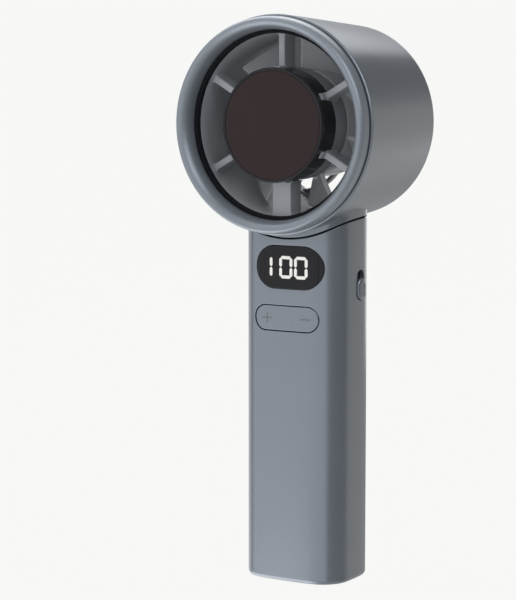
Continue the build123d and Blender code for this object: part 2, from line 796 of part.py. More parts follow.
def make_charge_board():
    """Charging board above the socket, with its controller chip."""
    width, depth, thick = CHARGE_BOARD
    z = CHARGE_BOARD_Z
    board = block(-width / 2, width / 2, -depth / 2, depth / 2, z, z + thick)
    board += block(-3, 3, -7, -1, z - 1.2, z + 0.1)
    return board + block(-7, -5, 0, 3, z - 0.9, z + 0.1)


def make_usb_socket():
    """Charging socket shell, open at the base."""
    width, depth = USB_SIZE
    outer = RectangleRounded(width, depth, depth / 2 - 0.02)
    inner = RectangleRounded(width - 2 * USB_WALL, depth - 2 * USB_WALL, depth / 2 - USB_WALL - 0.02)
    length = CHARGE_BOARD_Z - USB_MOUTH
    shell = extrude(outer, length) - Pos(0, 0, -0.5) * extrude(inner, length - 0.3)
    return Pos(0, USB_Y, USB_MOUTH) * shell


def make_usb_tongue():
    """Contact tongue inside the charging socket."""
    return block(-3.3, 3.3, USB_Y - 0.35, USB_Y + 0.35, USB_MOUTH + 0.8, CHARGE_BOARD_Z - 0.8)


def make_charge_leads():
    """Two wires from the charging board up to the main board."""
    wires = []
    for x in (-12.0, 12.0):
        inner = math.copysign(7.0, x)
        points = [
            (inner, -8.5, CHARGE_BOARD_Z + CHARGE_BOARD[2]),
            (inner, -8.5, 13.0),
            (x, BOARD_Y, 18.0),
            (x, BOARD_Y, BOARD_Z[0]),
        ]
        wires.append(wire(points, 2.0))
    return Compound(children=wires)


# ---------------------------------------------------------------- boards and display

def make_main_board():
    """Upright control board behind the display and the key."""
    half = BOARD_W / 2
    board = block(-half, half, BOARD_FRONT, BOARD_BACK, *BOARD_Z)
    for x in (-12.5, 12.5):
        board -= rod_y(x, 87.0, 0.95, BOARD_FRONT - 1, BOARD_BACK + 1)
    return board


def make_board_components():
    """Chips, inductors and capacitors on the back of the main board."""
    back = BOARD_BACK
    chips = [block(-5, 1, back, back + 1.2, 98.5, 104.5)]
    chips.append(block(3, 7.6, back, back + 2.6, 104, 108.6))
    chips.append(block(-11, -7, back, back + 1.0, 106, 110))
    chips.append(rod_y(-9, 101, 1.9, back, back + 3.4))
    for number in range(4):
        x = -12.5 + number * 2.4
        chips.append(block(x, x + 1.2, back, back + 0.7, 113, 113.8))
    return Compound(children=chips)


def make_board_screws():
    """Screws that hold the main board to the chassis deck."""
    screws = [screw_y(x, 87.0, BOARD_FRONT - 1.0, 3.4, 1) for x in (-12.5, 12.5)]
    return Compound(children=screws)


def make_display_module():
    """Light box between the board and the lens."""
    return block(-10.4, 10.4, -13.0, BOARD_FRONT, LENS_Z - 5.2, LENS_Z + 5.2)


def segment(x, z, length, upright):
    """One display stroke with pointed ends, as a bar along Y."""
    half, nib = length / 2, STROKE / 2
    points = [(-half, 0), (nib - half, nib), (half - nib, nib)]
    points += [(half, 0), (half - nib, -nib), (nib - half, -nib)]
    outline = make_face(Polyline(*points, close=True))
    turn = Rot(0, 0, 90) if upright else Rot(0, 0, 0)
    bar = extrude(Plane.XZ * turn * outline, HANDLE_D)
    return Pos(x, 0, z) * bar


def digit_segments():
    """Strokes of a one and two noughts."""
    reach = DIGIT_H / 2 - STROKE / 2
    length = reach - 2 * SEGMENT_GAP + STROKE / 4
    rise = reach / 2
    bars = []
    for sign in (-1, 1):
        bars.append(segment(ONE_X, LENS_Z + sign * rise, length, True))
    for centre in DIGIT_X:
        side = DIGIT_W / 2 - STROKE / 2
        for sign_x in (-1, 1):
            for sign_z in (-1, 1):
                bars.append(segment(centre + sign_x * side, LENS_Z + sign_z * rise, length, True))
        for sign_z in (-1, 1):
            across = 2 * side - 2 * SEGMENT_GAP + STROKE / 4
            bars.append(segment(centre, LENS_Z + sign_z * reach, across, False))
    return bars


def make_lit_segments():
    """Lit strokes, set flush in the lens."""
    skin = handle_skin(0, INLAY_T, LENS_Z - 8, LENS_Z + 8)
    strokes = []
    for bar in digit_segments():
        strokes.extend((bar & skin).solids())
    return Compound(children=strokes)


def make_display_lens():
    """Smoked lens that follows the handle's front."""
    skin = handle_skin(0, LENS_T - 0.05, LENS_Z - 10, LENS_Z + 10)
    lens = skin & stadium(LENS_SIZE, LENS_Z, -PART_LINE, LENS_X)
    front = handle_skin(-1, INLAY_T, LENS_Z - 8, LENS_Z + 8)
    for bar in digit_segments():
        lens -= bar & front
    return lens


# ---------------------------------------------------------------- controls

def make_key_frame():
    """Frame behind the wall that holds the key's pivot pins."""
    frame = handle_skin(INNER - 0.1, INNER + 2.6, KEY_Z - 7.2, KEY_Z + 7.2)
    frame &= block(-13.9, 13.9, -20, -9, KEY_Z - 7.2, KEY_Z + 7.2)
    frame -= stadium(KEY_SIZE, KEY_Z, KEY_GAP)
    return frame - rod_z(0, PIVOT_Y, PIVOT_HOLE_R, KEY_Z - 6, KEY_Z + 6)


def key_marks():
    """Plus and minus bars on the key, as bars along Y."""
    bars = [block(-MARK_X - 0.25, -MARK_X + 0.25, -20, -10, KEY_Z - 2.0, KEY_Z + 2.0)]
    bars[0] += block(-MARK_X - 2.0, -MARK_X + 2.0, -20, -10, KEY_Z - 0.25, KEY_Z + 0.25)
    bars.append(block(MARK_X - 2.0, MARK_X + 2.0, -20, -10, KEY_Z - 0.25, KEY_Z + 0.25))
    return bars


def make_speed_key():
    """Rocking speed key with pivot pins and pressing feet."""
    skin = handle_skin(KEY_RECESS, HANDLE_WALL, KEY_Z - 6, KEY_Z + 6)
    key = skin & stadium(KEY_SIZE, KEY_Z)
    core = stadium(KEY_SIZE, KEY_Z) & block(-11.5, 11.5, -14.2, KEY_BACK, KEY_Z - 4.2, KEY_Z + 4.2)
    key += core & handle_solid(0.5, KEY_Z - 6, KEY_Z + 6)
    key += rod_z(0, PIVOT_Y, PIVOT_R, KEY_Z - 5.8, KEY_Z + 5.8)
    front = handle_skin(-1, KEY_RECESS + MARK_T, KEY_Z - 6, KEY_Z + 6)
    for bar in key_marks():
        key -= bar & front
    return key


def make_key_marks():
    """Filled plus and minus marks in the key's face."""
    skin = handle_skin(KEY_RECESS, KEY_RECESS + MARK_T, KEY_Z - 6, KEY_Z + 6)
    marks = []
    for bar in key_marks():
        marks.extend((bar & skin).solids())
    return Compound(children=marks)


def make_tact_switches():
    """Two push switches behind the key's ends."""
    switches = []
    for x in (-SWITCH_X, SWITCH_X):
        body = block(x - 2.25, x + 2.25, BOARD_FRONT - 2.2, BOARD_FRONT, KEY_Z - 2.25, KEY_Z + 2.25)
        body -= rod_y(x, KEY_Z, PLUNGER_HOLE_R, BOARD_FRONT - 3, BOARD_FRONT - 0.5)
        switches.append(body)
    return Compound(children=switches)


def make_plunger(x):
    """Switch plunger that the key presses."""
    rod = rod_y(x, KEY_Z, PLUNGER_R, KEY_BACK + PLUNGER_GAP, BOARD_FRONT - 0.9)
    return fillet(rod.edges().sort_by(Axis.Y)[0], 0.4)


def make_slide_switch():
    """Power slide switch on the back of the main board."""
    body = block(9.5, 14.0, BOARD_BACK, BOARD_BACK + 3.9, 97.5, 108.0)
    return body - block(12.0, 15, LEVER_Y - 0.75, LEVER_Y + 0.75, 99.5, 106.0)


def make_switch_lever():
    """Lever of the power switch, moved by the slider's fork."""
    return block(12.2, 16.2, LEVER_Y - 0.6, LEVER_Y + 0.6, 100.6, 102.2)


def make_side_slider():
    """Slider knob with a domed face, shutter plate and fork."""
    plate = handle_skin(INNER + 0.1, INNER + 0.9, 95.2, 112.6)
    slider = plate & block(10, 30, -5.6, 6.6, 95.2, 112.6)
    knob_base = SLOT_Z[0] + SLIDE_END_GAP
    outline = Plane.YZ * RectangleRounded(KNOB_W, KNOB_H, KNOB_W / 2 - 0.02)
    inner_x = HANDLE_W / 2 - INNER - 0.5
    knob = extrude(outline, HANDLE_W / 2 + KNOB_PROUD - inner_x)
    knob = fillet(knob.faces().sort_by(Axis.X)[-1].edges(), KNOB_ROUND)
    knob = Pos(inner_x, SLOT_Y, knob_base + KNOB_H / 2) * knob
    slider += knob
    slider += block(15.0, 17.3, -5.3, -2.5, 99.0, 100.5)
    return slider + block(15.0, 17.3, -5.3, -2.5, 102.3, 103.8)


# ---------------------------------------------------------------- wires in the head

def make_motor_leads():
    """Three motor wires: hub, bottom spoke, along the duct and down the neck."""
    start = HEAD_Z - 10.9
    wires = []
    for x in (-LEAD_PITCH, 0.0, LEAD_PITCH):
        points = [
            (x, HUB_BACK + 0.1, start),
            (x, CHANNEL_Y, start),
            (x, CHANNEL_Y, HEAD_Z - LEAD_R),
            (x, LEAD_Y, HEAD_Z - LEAD_R),
            (x, LEAD_Y, 116.0),
            (x, BOARD_BACK, 116.0),
        ]
        wires.append(wire(points, 1.6))
    return Compound(children=wires)


def make_cooler_leads():
    """Two wires from the thermoelectric module along the same route."""
    module_middle = stack_places()[1] + MODULE_T / 2
    turn_z = HEAD_Z - 14.8
    wires = []
    for x in (-2 * LEAD_PITCH, 2 * LEAD_PITCH):
        points = [
            (x, module_middle, HEAD_Z - MODULE_SIDE / 2),
            (x, module_middle, turn_z),
            (x, CHANNEL_Y, turn_z),
            (x, CHANNEL_Y, HEAD_Z - LEAD_R),
            (x, LEAD_Y, HEAD_Z - LEAD_R),
            (x, LEAD_Y, 112.0),
            (x, BOARD_BACK, 112.0),
        ]
        wires.append(wire(points, 1.4))
    return Compound(children=wires)


PARTS = {
    "head_shell": make_head_shell,
    "bezel": make_bezel,
    "duct_gasket": make_duct_gasket,
    "duct_sleeve": make_duct_sleeve,
    "stator_hub": make_stator_hub,
    "duct_spokes": make_duct_spokes,
    "hub_collar": make_hub_collar,
    "plate_ring": make_plate_ring,
    "cold_plate": make_cold_plate,
    "thermal_pads": make_thermal_pads,
    "peltier_module": make_peltier_module,
    "heat_sink": make_heat_sink,
    "cooler_leads": make_cooler_leads,
    "bearing_tube": make_bearing_tube,
    "bearing_outer_rings": lambda: bearing_ring(BALL_PITCH_R + 0.35, BEARING_R - FIT),
    "bearing_inner_rings": lambda: bearing_ring(SHAFT_R + FIT, BALL_PITCH_R - 0.35),
    "bearing_balls": make_bearing_balls,
    "motor_shaft": make_shaft,
    "shaft_clip": make_shaft_clip,
    "motor_board": make_motor_board,
    "motor_core": make_motor_core,
    "motor_windings": make_motor_windings,
    "motor_leads": make_motor_leads,
    "rotor_magnets": make_rotor_magnets,
    "rotor_yoke": make_rotor_yoke,
    "impeller_hub": make_impeller_hub,
    "impeller_blades": make_impeller_blades,
    "spinner_cap": make_spinner_cap,
    "grille_rim": make_grille_rim,
    "grille_ribs": make_grille_ribs,
    "grille_hub": make_grille_hub,
    "handle_tube": make_handle_tube,
    "neck_gasket": make_neck_gasket,
    "bottom_cap": make_bottom_cap,
    "cap_screws": make_cap_screws,
    "chassis": make_chassis,
    "chassis_screws": make_chassis_screws,
    "battery_cell": make_battery_cell,
    "battery_tabs": make_battery_tabs,
    "battery_leads": make_battery_leads,
    "charge_board": make_charge_board,
    "charge_leads": make_charge_leads,
    "usb_socket": make_usb_socket,
    "usb_tongue": make_usb_tongue,
    "main_board": make_main_board,
    "board_components": make_board_components,
    "board_screws": make_board_screws,
    "display_module": make_display_module,
    "display_lens": make_display_lens,
    "lit_segments": make_lit_segments,
    "key_frame": make_key_frame,
    "speed_key": make_speed_key,
    "key_marks": make_key_marks,
    "tact_switches": make_tact_switches,
    "left_plunger": lambda: make_plunger(-SWITCH_X),
    "right_plunger": lambda: make_plunger(SWITCH_X),
    "slide_switch": make_slide_switch,
    "switch_lever": make_switch_lever,
    "side_slider": make_side_slider,
}

os.makedirs("parts", exist_ok=True)
for node, make in PARTS.items():
    export_step(make(), f"parts/{node}.step")
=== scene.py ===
import json
import math

import bmesh
import bpy
from mathutils import Matrix, Vector


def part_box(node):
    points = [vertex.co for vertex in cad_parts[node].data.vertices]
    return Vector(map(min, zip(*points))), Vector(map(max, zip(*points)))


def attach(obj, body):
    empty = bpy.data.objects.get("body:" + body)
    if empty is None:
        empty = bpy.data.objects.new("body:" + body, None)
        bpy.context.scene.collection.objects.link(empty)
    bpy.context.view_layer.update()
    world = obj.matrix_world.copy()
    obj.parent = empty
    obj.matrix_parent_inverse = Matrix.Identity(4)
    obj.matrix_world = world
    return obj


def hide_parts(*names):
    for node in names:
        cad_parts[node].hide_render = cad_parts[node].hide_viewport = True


bl_info = {
    "name": "Handheld turbo fan",
    "version": (1, 0, 0),
    "blender": (4, 5, 0),
    "location": "View3D > Sidebar > Turbo fan",
    "description": "Builds a handheld turbo fan round its packed frame",
    "category": "Object",
}

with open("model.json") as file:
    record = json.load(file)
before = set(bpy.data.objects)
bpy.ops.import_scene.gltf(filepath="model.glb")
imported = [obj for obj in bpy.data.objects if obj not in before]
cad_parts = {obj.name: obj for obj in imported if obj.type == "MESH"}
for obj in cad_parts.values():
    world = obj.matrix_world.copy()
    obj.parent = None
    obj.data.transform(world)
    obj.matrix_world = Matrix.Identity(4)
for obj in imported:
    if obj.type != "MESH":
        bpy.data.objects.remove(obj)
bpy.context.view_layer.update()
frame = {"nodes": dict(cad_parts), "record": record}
SLOT_OF = {part["node"]: part["material_slot"] for part in frame["record"]["subparts"]}
SLOT_COLOUR = {row["slot"]: row["base_color"] for row in frame["record"]["materials"]}


def mm(value):
    """Millimetres as metres."""
    return value * 0.001


def middle(node, axis):
    """Middle of a frame node's box along one axis."""
    low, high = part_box(node)
    return (low[axis] + high[axis]) / 2


# ------------------------------------------------------------ sizes and colours

def length(name, description, default):
    """Property for a length in metres."""
    return bpy.props.FloatProperty(
        name=name, description=description, default=default, unit="LENGTH", precision=5
    )


def turn_angle(name, description, degrees):
    """Property for an angle, given in degrees."""
    return bpy.props.FloatProperty(
        name=name, description=description, default=math.radians(degrees), unit="ROTATION"
    )


def number(name, description, default):
    """Property for a count."""
    return bpy.props.IntProperty(name=name, description=description, default=default, min=3)


def colour(name, description, default):
    """Property for a colour in linear red, green and blue."""
    return bpy.props.FloatVectorProperty(
        name=name, description=description, default=default, subtype="COLOR",
        size=3, min=0.0, max=1.0,
    )


class FanHeadSizes(bpy.types.PropertyGroup):
    """Sizes of the head. Places are along the fan's axis, and the front is negative."""

    axis_height: length("Axis height", "Height of the fan's axis", middle("cold_plate", 2))
    barrel_front_radius: length("Barrel front radius", "Outside radius at the front", mm(37.5))
    barrel_back_radius: length("Barrel back radius", "Outside radius at the back", mm(34))
    barrel_front: length("Barrel front", "Place of the barrel's front edge", mm(-23.2))
    barrel_back: length("Barrel back", "Place of the barrel's back edge", mm(31))
    barrel_wall: length("Barrel wall", "Thickness of the barrel", mm(1.8))
    bezel_radius: length("Bezel radius", "Outside radius of the bezel", mm(36.7))
    crest_radius: length("Crest radius", "Radius of the bezel's foremost line", mm(35.4))
    bezel_front: length("Bezel front", "Place of the bezel's crest", mm(-28.9))
    bezel_lip_radius: length("Bezel lip radius", "Clear radius inside the bezel", mm(32.3))
    plate_radius: length("Plate radius", "Radius of the cooled plate", mm(18.45))
    plate_front: length("Plate front", "Place of the cooled plate's face", mm(-25.1))
    collar_radius: length("Collar radius", "Outside radius of the black collar", mm(19.5))
    spoke_width: length("Spoke width", "Width of the five narrow spokes", mm(2.4))
    wide_spoke_width: length("Wide spoke width", "Width of the bottom spoke", mm(7.2))
    spokes: number("Spokes", "Number of spokes in the inlet", 6)


class FanRotorSizes(bpy.types.PropertyGroup):
    """Sizes of the impeller and the outlet grille."""

    hub_radius: length("Impeller hub radius", "Outside radius of the impeller's hub", mm(19))
    tip_radius: length("Blade tip radius", "Radius swept by the blades", mm(30.2))
    blade_thickness: length("Blade thickness", "Thickness at the leading edge", mm(1.5))
    blades: number("Blades", "Number of blades", 7)
    blade_wrap: turn_angle("Blade wrap", "Turn of a blade from front to back", 38)
    ribs: number("Grille ribs", "Number of ribs in the outlet grille", 16)
    rib_thickness: length("Rib thickness", "Thickness of a grille rib", mm(1.3))
    rib_sweep: turn_angle("Rib sweep", "Turn of a rib from hub to rim", 34)


class FanHandleSizes(bpy.types.PropertyGroup):
    """Sizes of the handle and what is set in it."""

    width: length("Handle width", "Side to side", mm(39.5))
    depth: length("Handle depth", "Front to back", mm(31))
    front_bulge: length("Front bulge", "Rise of the front and back faces", mm(1.5))
    side_bulge: length("Side bulge", "Rise of the side faces", mm(1.2))
    corner_radius: length("Corner radius", "Radius of the upright corners", mm(10.5))
    wall: length("Handle wall", "Thickness of the tube", mm(1.8))
    base_round: length("Base rounding", "Radius of the edge at the base", mm(1.5))
    lens_height: length("Lens height", "Height of the readout's middle", middle("display_lens", 2))
    lens_width: length("Lens width", "Width of the readout lens", mm(26.4))
    lens_across: length("Lens across", "How far the lens sits to the right", mm(1.2))
    lens_tall: length("Lens tall", "Upright size of the readout lens", mm(15.2))
    key_height: length("Key height", "Height of the key's middle", middle("key_marks", 2))
    key_width: length("Key width", "Width of the rocker key", mm(24.9))
    key_tall: length("Key tall", "Upright size of the rocker key", mm(8.6))
    key_gap: length("Key gap", "Gap round the key", mm(0.3))


class FanColours(bpy.types.PropertyGroup):
    """Colours that a user would change."""

    body_paint: colour("Body paint", "Satin paint of the outside", (0.155, 0.172, 0.193))
    duct_plastic: colour("Duct plastic", "Moulded plastic inside the head", (0.250, 0.260, 0.277))
    rotor_plastic: colour("Rotor plastic", "Moulded plastic of the impeller", (0.60, 0.612, 0.63))
    black_gloss: colour("Black gloss", "Polished black trim", (0.013, 0.013, 0.0145))
    cooled_metal: colour(
        "Cooled plate", "Anodised metal of the centre plate", (0.0225, 0.0140, 0.0150)
    )
    lens_smoke: colour("Lens", "Smoked readout lens", (0.008, 0.008, 0.0085))
    dark_foam: colour("Seals", "Foam of the two seals", (0.006, 0.0065, 0.0085))
    mark_paint: colour("Key marks", "Faint print on the key", (0.085, 0.09, 0.10))
    lit_white: colour("Readout strokes", "Light of the readout", (0.34, 0.335, 0.32))
    studio: colour("Studio", "Floor and background", (0.930, 0.939, 0.922))


# ------------------------------------------------------------ bench tools

# Spin and rotate turn the other way when Blender has no window.
TURN_HAND = -1.0


def put_down():
    """Leave edit mode and let go of everything."""
    if bpy.context.object and bpy.context.object.mode != "OBJECT":
        bpy.ops.object.mode_set(mode="OBJECT")
    bpy.ops.object.select_all(action="DESELECT")


def pick_up(piece):
    """Make one piece the only selected and active one."""
    put_down()
    piece.select_set(True)
    bpy.context.view_layer.objects.active = piece


def settle(name):
    """Name the object that was just added and move its place into its mesh."""
    piece = bpy.context.object
    piece.name = piece.data.name = name
    bpy.ops.object.transform_apply(location=True, rotation=True, scale=True)
    return piece


def choose(piece, kind, test):
    """Enter edit mode with the vertices, edges or faces that pass a test selected."""
    pick_up(piece)
    bpy.ops.object.mode_set(mode="EDIT")
    bpy.ops.mesh.select_mode(type=kind)
    bpy.ops.mesh.select_all(action="DESELECT")
    mesh = bmesh.from_edit_mesh(piece.data)
    for item in {"VERT": mesh.verts, "EDGE": mesh.edges, "FACE": mesh.faces}[kind]:
        if test(item):
            item.select = True
    mesh.select_flush_mode()
    bmesh.update_edit_mesh(piece.data)


def select_all(kind):
    """Select everything in edit mode, as vertices, edges or faces."""
    bpy.ops.mesh.select_mode(type=kind)
    bpy.ops.mesh.select_all(action="SELECT")


def extrude(move, kind="region"):
    """Extrude the selected region, edges or vertices by a move in metres."""
    push = getattr(bpy.ops.mesh, f"extrude_{kind}_move")
    push(TRANSFORM_OT_translate={"value": move})


def modify(piece, kind, **settings):
    """Add a modifier, set it and apply it."""
    pick_up(piece)
    modifier = piece.modifiers.new(kind.title(), kind)
    for name, value in settings.items():
        setattr(modifier, name, value)
    bpy.ops.object.modifier_apply(modifier=modifier.name)


def combine(piece, tool, operation="DIFFERENCE"):
    """Cut, join or cross a piece with a tool, then throw the tool away."""
    modify(piece, "BOOLEAN", operation=operation, object=tool, solver="EXACT")
    bpy.data.objects.remove(tool)


def soften(piece, width, segments=3, angle=38):
    """Round every edge that turns more than an angle. The width is in millimetres."""
    modify(
        piece, "BEVEL", width=mm(width), segments=segments, limit_method="ANGLE",
        angle_limit=math.radians(angle), use_clamp_overlap=False, miter_outer="MITER_ARC",
    )


def shade(piece, angle=42):
    """Smooth shading that keeps real edges."""
    pick_up(piece)
    bpy.ops.object.shade_smooth_by_angle(angle=math.radians(angle))
    modify(piece, "WEIGHTED_NORMAL", keep_sharp=True, weight=60)


def close_up(piece):
    """Merge doubles and turn every face outwards."""
    choose(piece, "VERT", lambda vert: True)
    bpy.ops.mesh.remove_doubles(threshold=mm(0.004))
    bpy.ops.mesh.normals_make_consistent(inside=False)
    put_down()


def one_vertex(name, place):
    """A small plane merged to a single vertex, to draw a line from. It stays in edit mode."""
    put_down()
    bpy.ops.mesh.primitive_plane_add(size=mm(1), location=place)
    piece = settle(name)
    bpy.ops.object.mode_set(mode="EDIT")
    select_all("VERT")
    bpy.ops.mesh.merge(type="CENTER")
    return piece


def turn(name, profile, closed=True, segments=144):
    """Turn a profile of radius and place on the fan's axis, in millimetres."""
    height = bpy.context.scene.fan_head.axis_height
    put_down()
    radius, place = profile[0]
    bpy.ops.mesh.primitive_circle_add(
        vertices=segments, radius=mm(radius), location=(0, mm(place), height),
        rotation=(math.pi / 2, 0, 0),
    )
    piece = settle(name)
    bpy.ops.object.mode_set(mode="EDIT")
    select_all("EDGE")
    for next_radius, next_place in profile[1:]:
        extrude((0, mm(next_place - place), 0), "edges")
        share = next_radius / radius
        bpy.ops.transform.resize(
            value=(share, 1, share), center_override=(0, mm(next_place), height)
        )
        radius, place = next_radius, next_place
    bpy.ops.mesh.select_all(action="DESELECT")
    bpy.ops.mesh.select_non_manifold()
    if closed:
        bpy.ops.mesh.bridge_edge_loops()
    else:
        bpy.ops.mesh.edge_face_add()
    put_down()
    close_up(piece)
    return piece


def fill_ends(name, profile, segments=144):
    """Turned solid whose two ends are flat discs."""
    return turn(name, profile, closed=False, segments=segments)


def slab(name, low, high, rounding=0.0):
    """Block between two corners in millimetres, with its edges rounded."""
    put_down()
    size = [mm(b - a) for a, b in zip(low, high)]
    place = [mm(a + b) / 2 for a, b in zip(low, high)]
    bpy.ops.mesh.primitive_cube_add(size=1, location=place, scale=size)
    piece = settle(name)
    if rounding:
        soften(piece, rounding, 3, 30)
    return piece


def pin(name, radius, low, high, axis="Z"):
    """Round bar between two points in millimetres, along Z or Y."""
    put_down()
    tall = mm(math.dist(low, high))
    place = [mm(a + b) / 2 for a, b in zip(low, high)]
    tilt = (0, 0, 0) if axis == "Z" else (math.pi / 2, 0, 0)
    bpy.ops.mesh.primitive_cylinder_add(
        vertices=32, radius=mm(radius), depth=tall, location=place, rotation=tilt
    )
    return settle(name)


def gather(pieces, name):
    """Join pieces into the first one and name it."""
    pick_up(pieces[0])
    for piece in pieces:
        piece.select_set(True)
    bpy.ops.object.join()
    pieces[0].name = pieces[0].data.name = name
    return pieces[0]


def turn_about_axis(piece, step, count):
    """Turn a piece about the fan's axis by a step of an even division."""
    to_axis = Matrix.Translation((0, 0, bpy.context.scene.fan_head.axis_height))
    turned = Matrix.Rotation(math.tau * step / count, 4, "Y")
    piece.matrix_world = to_axis @ turned @ to_axis.inverted()
    pick_up(piece)
    bpy.ops.object.transform_apply(location=True, rotation=True, scale=True)


def around(piece, count):
    """Copies of a piece turned evenly about the fan's axis, each with its own mesh."""
    copies = [piece]
    for step in range(1, count):
        pick_up(piece)
        bpy.ops.object.duplicate(linked=False)
        copies.append(bpy.context.object)
        turn_about_axis(copies[-1], step, count)
    return copies


def dress(piece, body, slot, *nodes):
    """Give a piece the finish of its slot and the body it rides on, and hide the nodes it stands
    for.
    """
    piece.data.materials.clear()
    piece.data.materials.append(finish(slot))
    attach(piece, body)
    if nodes:
        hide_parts(*nodes)


# ------------------------------------------------------------ finishes

def fill(node, **values):
    """Set inputs of a node. An input's name is written with _ for a space."""
    for name, value in values.items():
        node.inputs[name.replace("_", " ")].default_value = value


def node_tools(owner):
    """Node tree of a material or world, and functions that add a node and link sockets."""
    owner.use_nodes = True
    tree = owner.node_tree

    def add(kind, **settings):
        node = tree.nodes.new(kind)
        for name, value in settings.items():
            if name in node.inputs:
                node.inputs[name].default_value = value
            else:
                setattr(node, name, value)
        return node

    return tree, add, tree.links.new


def surface(
    name, tint, metallic=0.0, roughness=0.4, grain=0.25, stretch=(1, 1, 1), depth=0.01,
    mottle=0.05, patch=14.0, wander=0.05, coat=0.0, coat_roughness=0.1, specular=0.5,
    emission=0.0, fleck=0.0,
):
    """Procedural finish: grain and patch are sizes in millimetres, depth is the relief in
    millimetres, mottle is the share that the colour wanders, wander is roughness's own,
    and fleck is the brightness of fine flakes in a paint. The title differs from the slot's
    name, which the frame's own plain material has already."""
    title = name + "_finish"
    if title in bpy.data.materials:
        return bpy.data.materials[title]
    material = bpy.data.materials.new(title)
    tree, add, link = node_tools(material)
    shader = tree.nodes["Principled BSDF"]
    place = add("ShaderNodeTexCoord").outputs["Object"]

    stretched = add("ShaderNodeMapping", Scale=stretch)
    link(place, stretched.inputs["Vector"])
    fine = add("ShaderNodeTexNoise", Scale=1000 / grain, Detail=3.0, Roughness=0.6)
    link(stretched.outputs["Vector"], fine.inputs["Vector"])
    broad = add("ShaderNodeTexNoise", Scale=1000 / patch, Detail=4.0, Roughness=0.55)
    link(place, broad.inputs["Vector"])

    # A mix of colours has its share at input 0, its colours at 6 and 7, its result at output 2.
    blend = add("ShaderNodeMix", data_type="RGBA")
    blend.inputs[6].default_value = (*[c * (1 - mottle) for c in tint], 1)
    blend.inputs[7].default_value = (*[min(1, c * (1 + mottle)) for c in tint], 1)
    link(broad.outputs["Fac"], blend.inputs[0])
    paint = blend.outputs[2]
    if fleck:
        flakes = add("ShaderNodeTexVoronoi", Scale=1000 / 0.22)
        link(place, flakes.inputs["Vector"])
        gate = add("ShaderNodeMapRange")
        fill(gate, From_Min=0.2, From_Max=1.0, To_Max=fleck)
        link(flakes.outputs["Color"], gate.inputs["Value"])
        lighten = add("ShaderNodeMix", data_type="RGBA")
        lighten.inputs[7].default_value = (*[min(1, c * 1.9) for c in tint], 1)
        link(gate.outputs["Result"], lighten.inputs[0])
        link(paint, lighten.inputs[6])
        paint = lighten.outputs[2]
    link(paint, shader.inputs["Base Color"])

    polish = add("ShaderNodeMapRange")
    fill(polish, To_Min=max(0.02, roughness - wander), To_Max=min(1.0, roughness + wander))
    link(broad.outputs["Fac"], polish.inputs["Value"])
    link(polish.outputs["Result"], shader.inputs["Roughness"])

    relief = add("ShaderNodeBump", Strength=1.0, Distance=mm(depth))
    link(fine.outputs["Fac"], relief.inputs["Height"])
    link(relief.outputs["Normal"], shader.inputs["Normal"])

    fill(shader, Metallic=metallic, Specular_IOR_Level=specular)
    fill(shader, Coat_Weight=coat, Coat_Roughness=coat_roughness)
    if emission:
        fill(shader, Emission_Color=(*tint, 1), Emission_Strength=emission)
    return material


def user_colour(slot):
    """Colour of a slot: the user's where there is one, and the record's elsewhere."""
    chosen = getattr(bpy.context.scene.fan_colours, slot, None)
    return tuple(chosen) if chosen is not None else tuple(SLOT_COLOUR[slot])


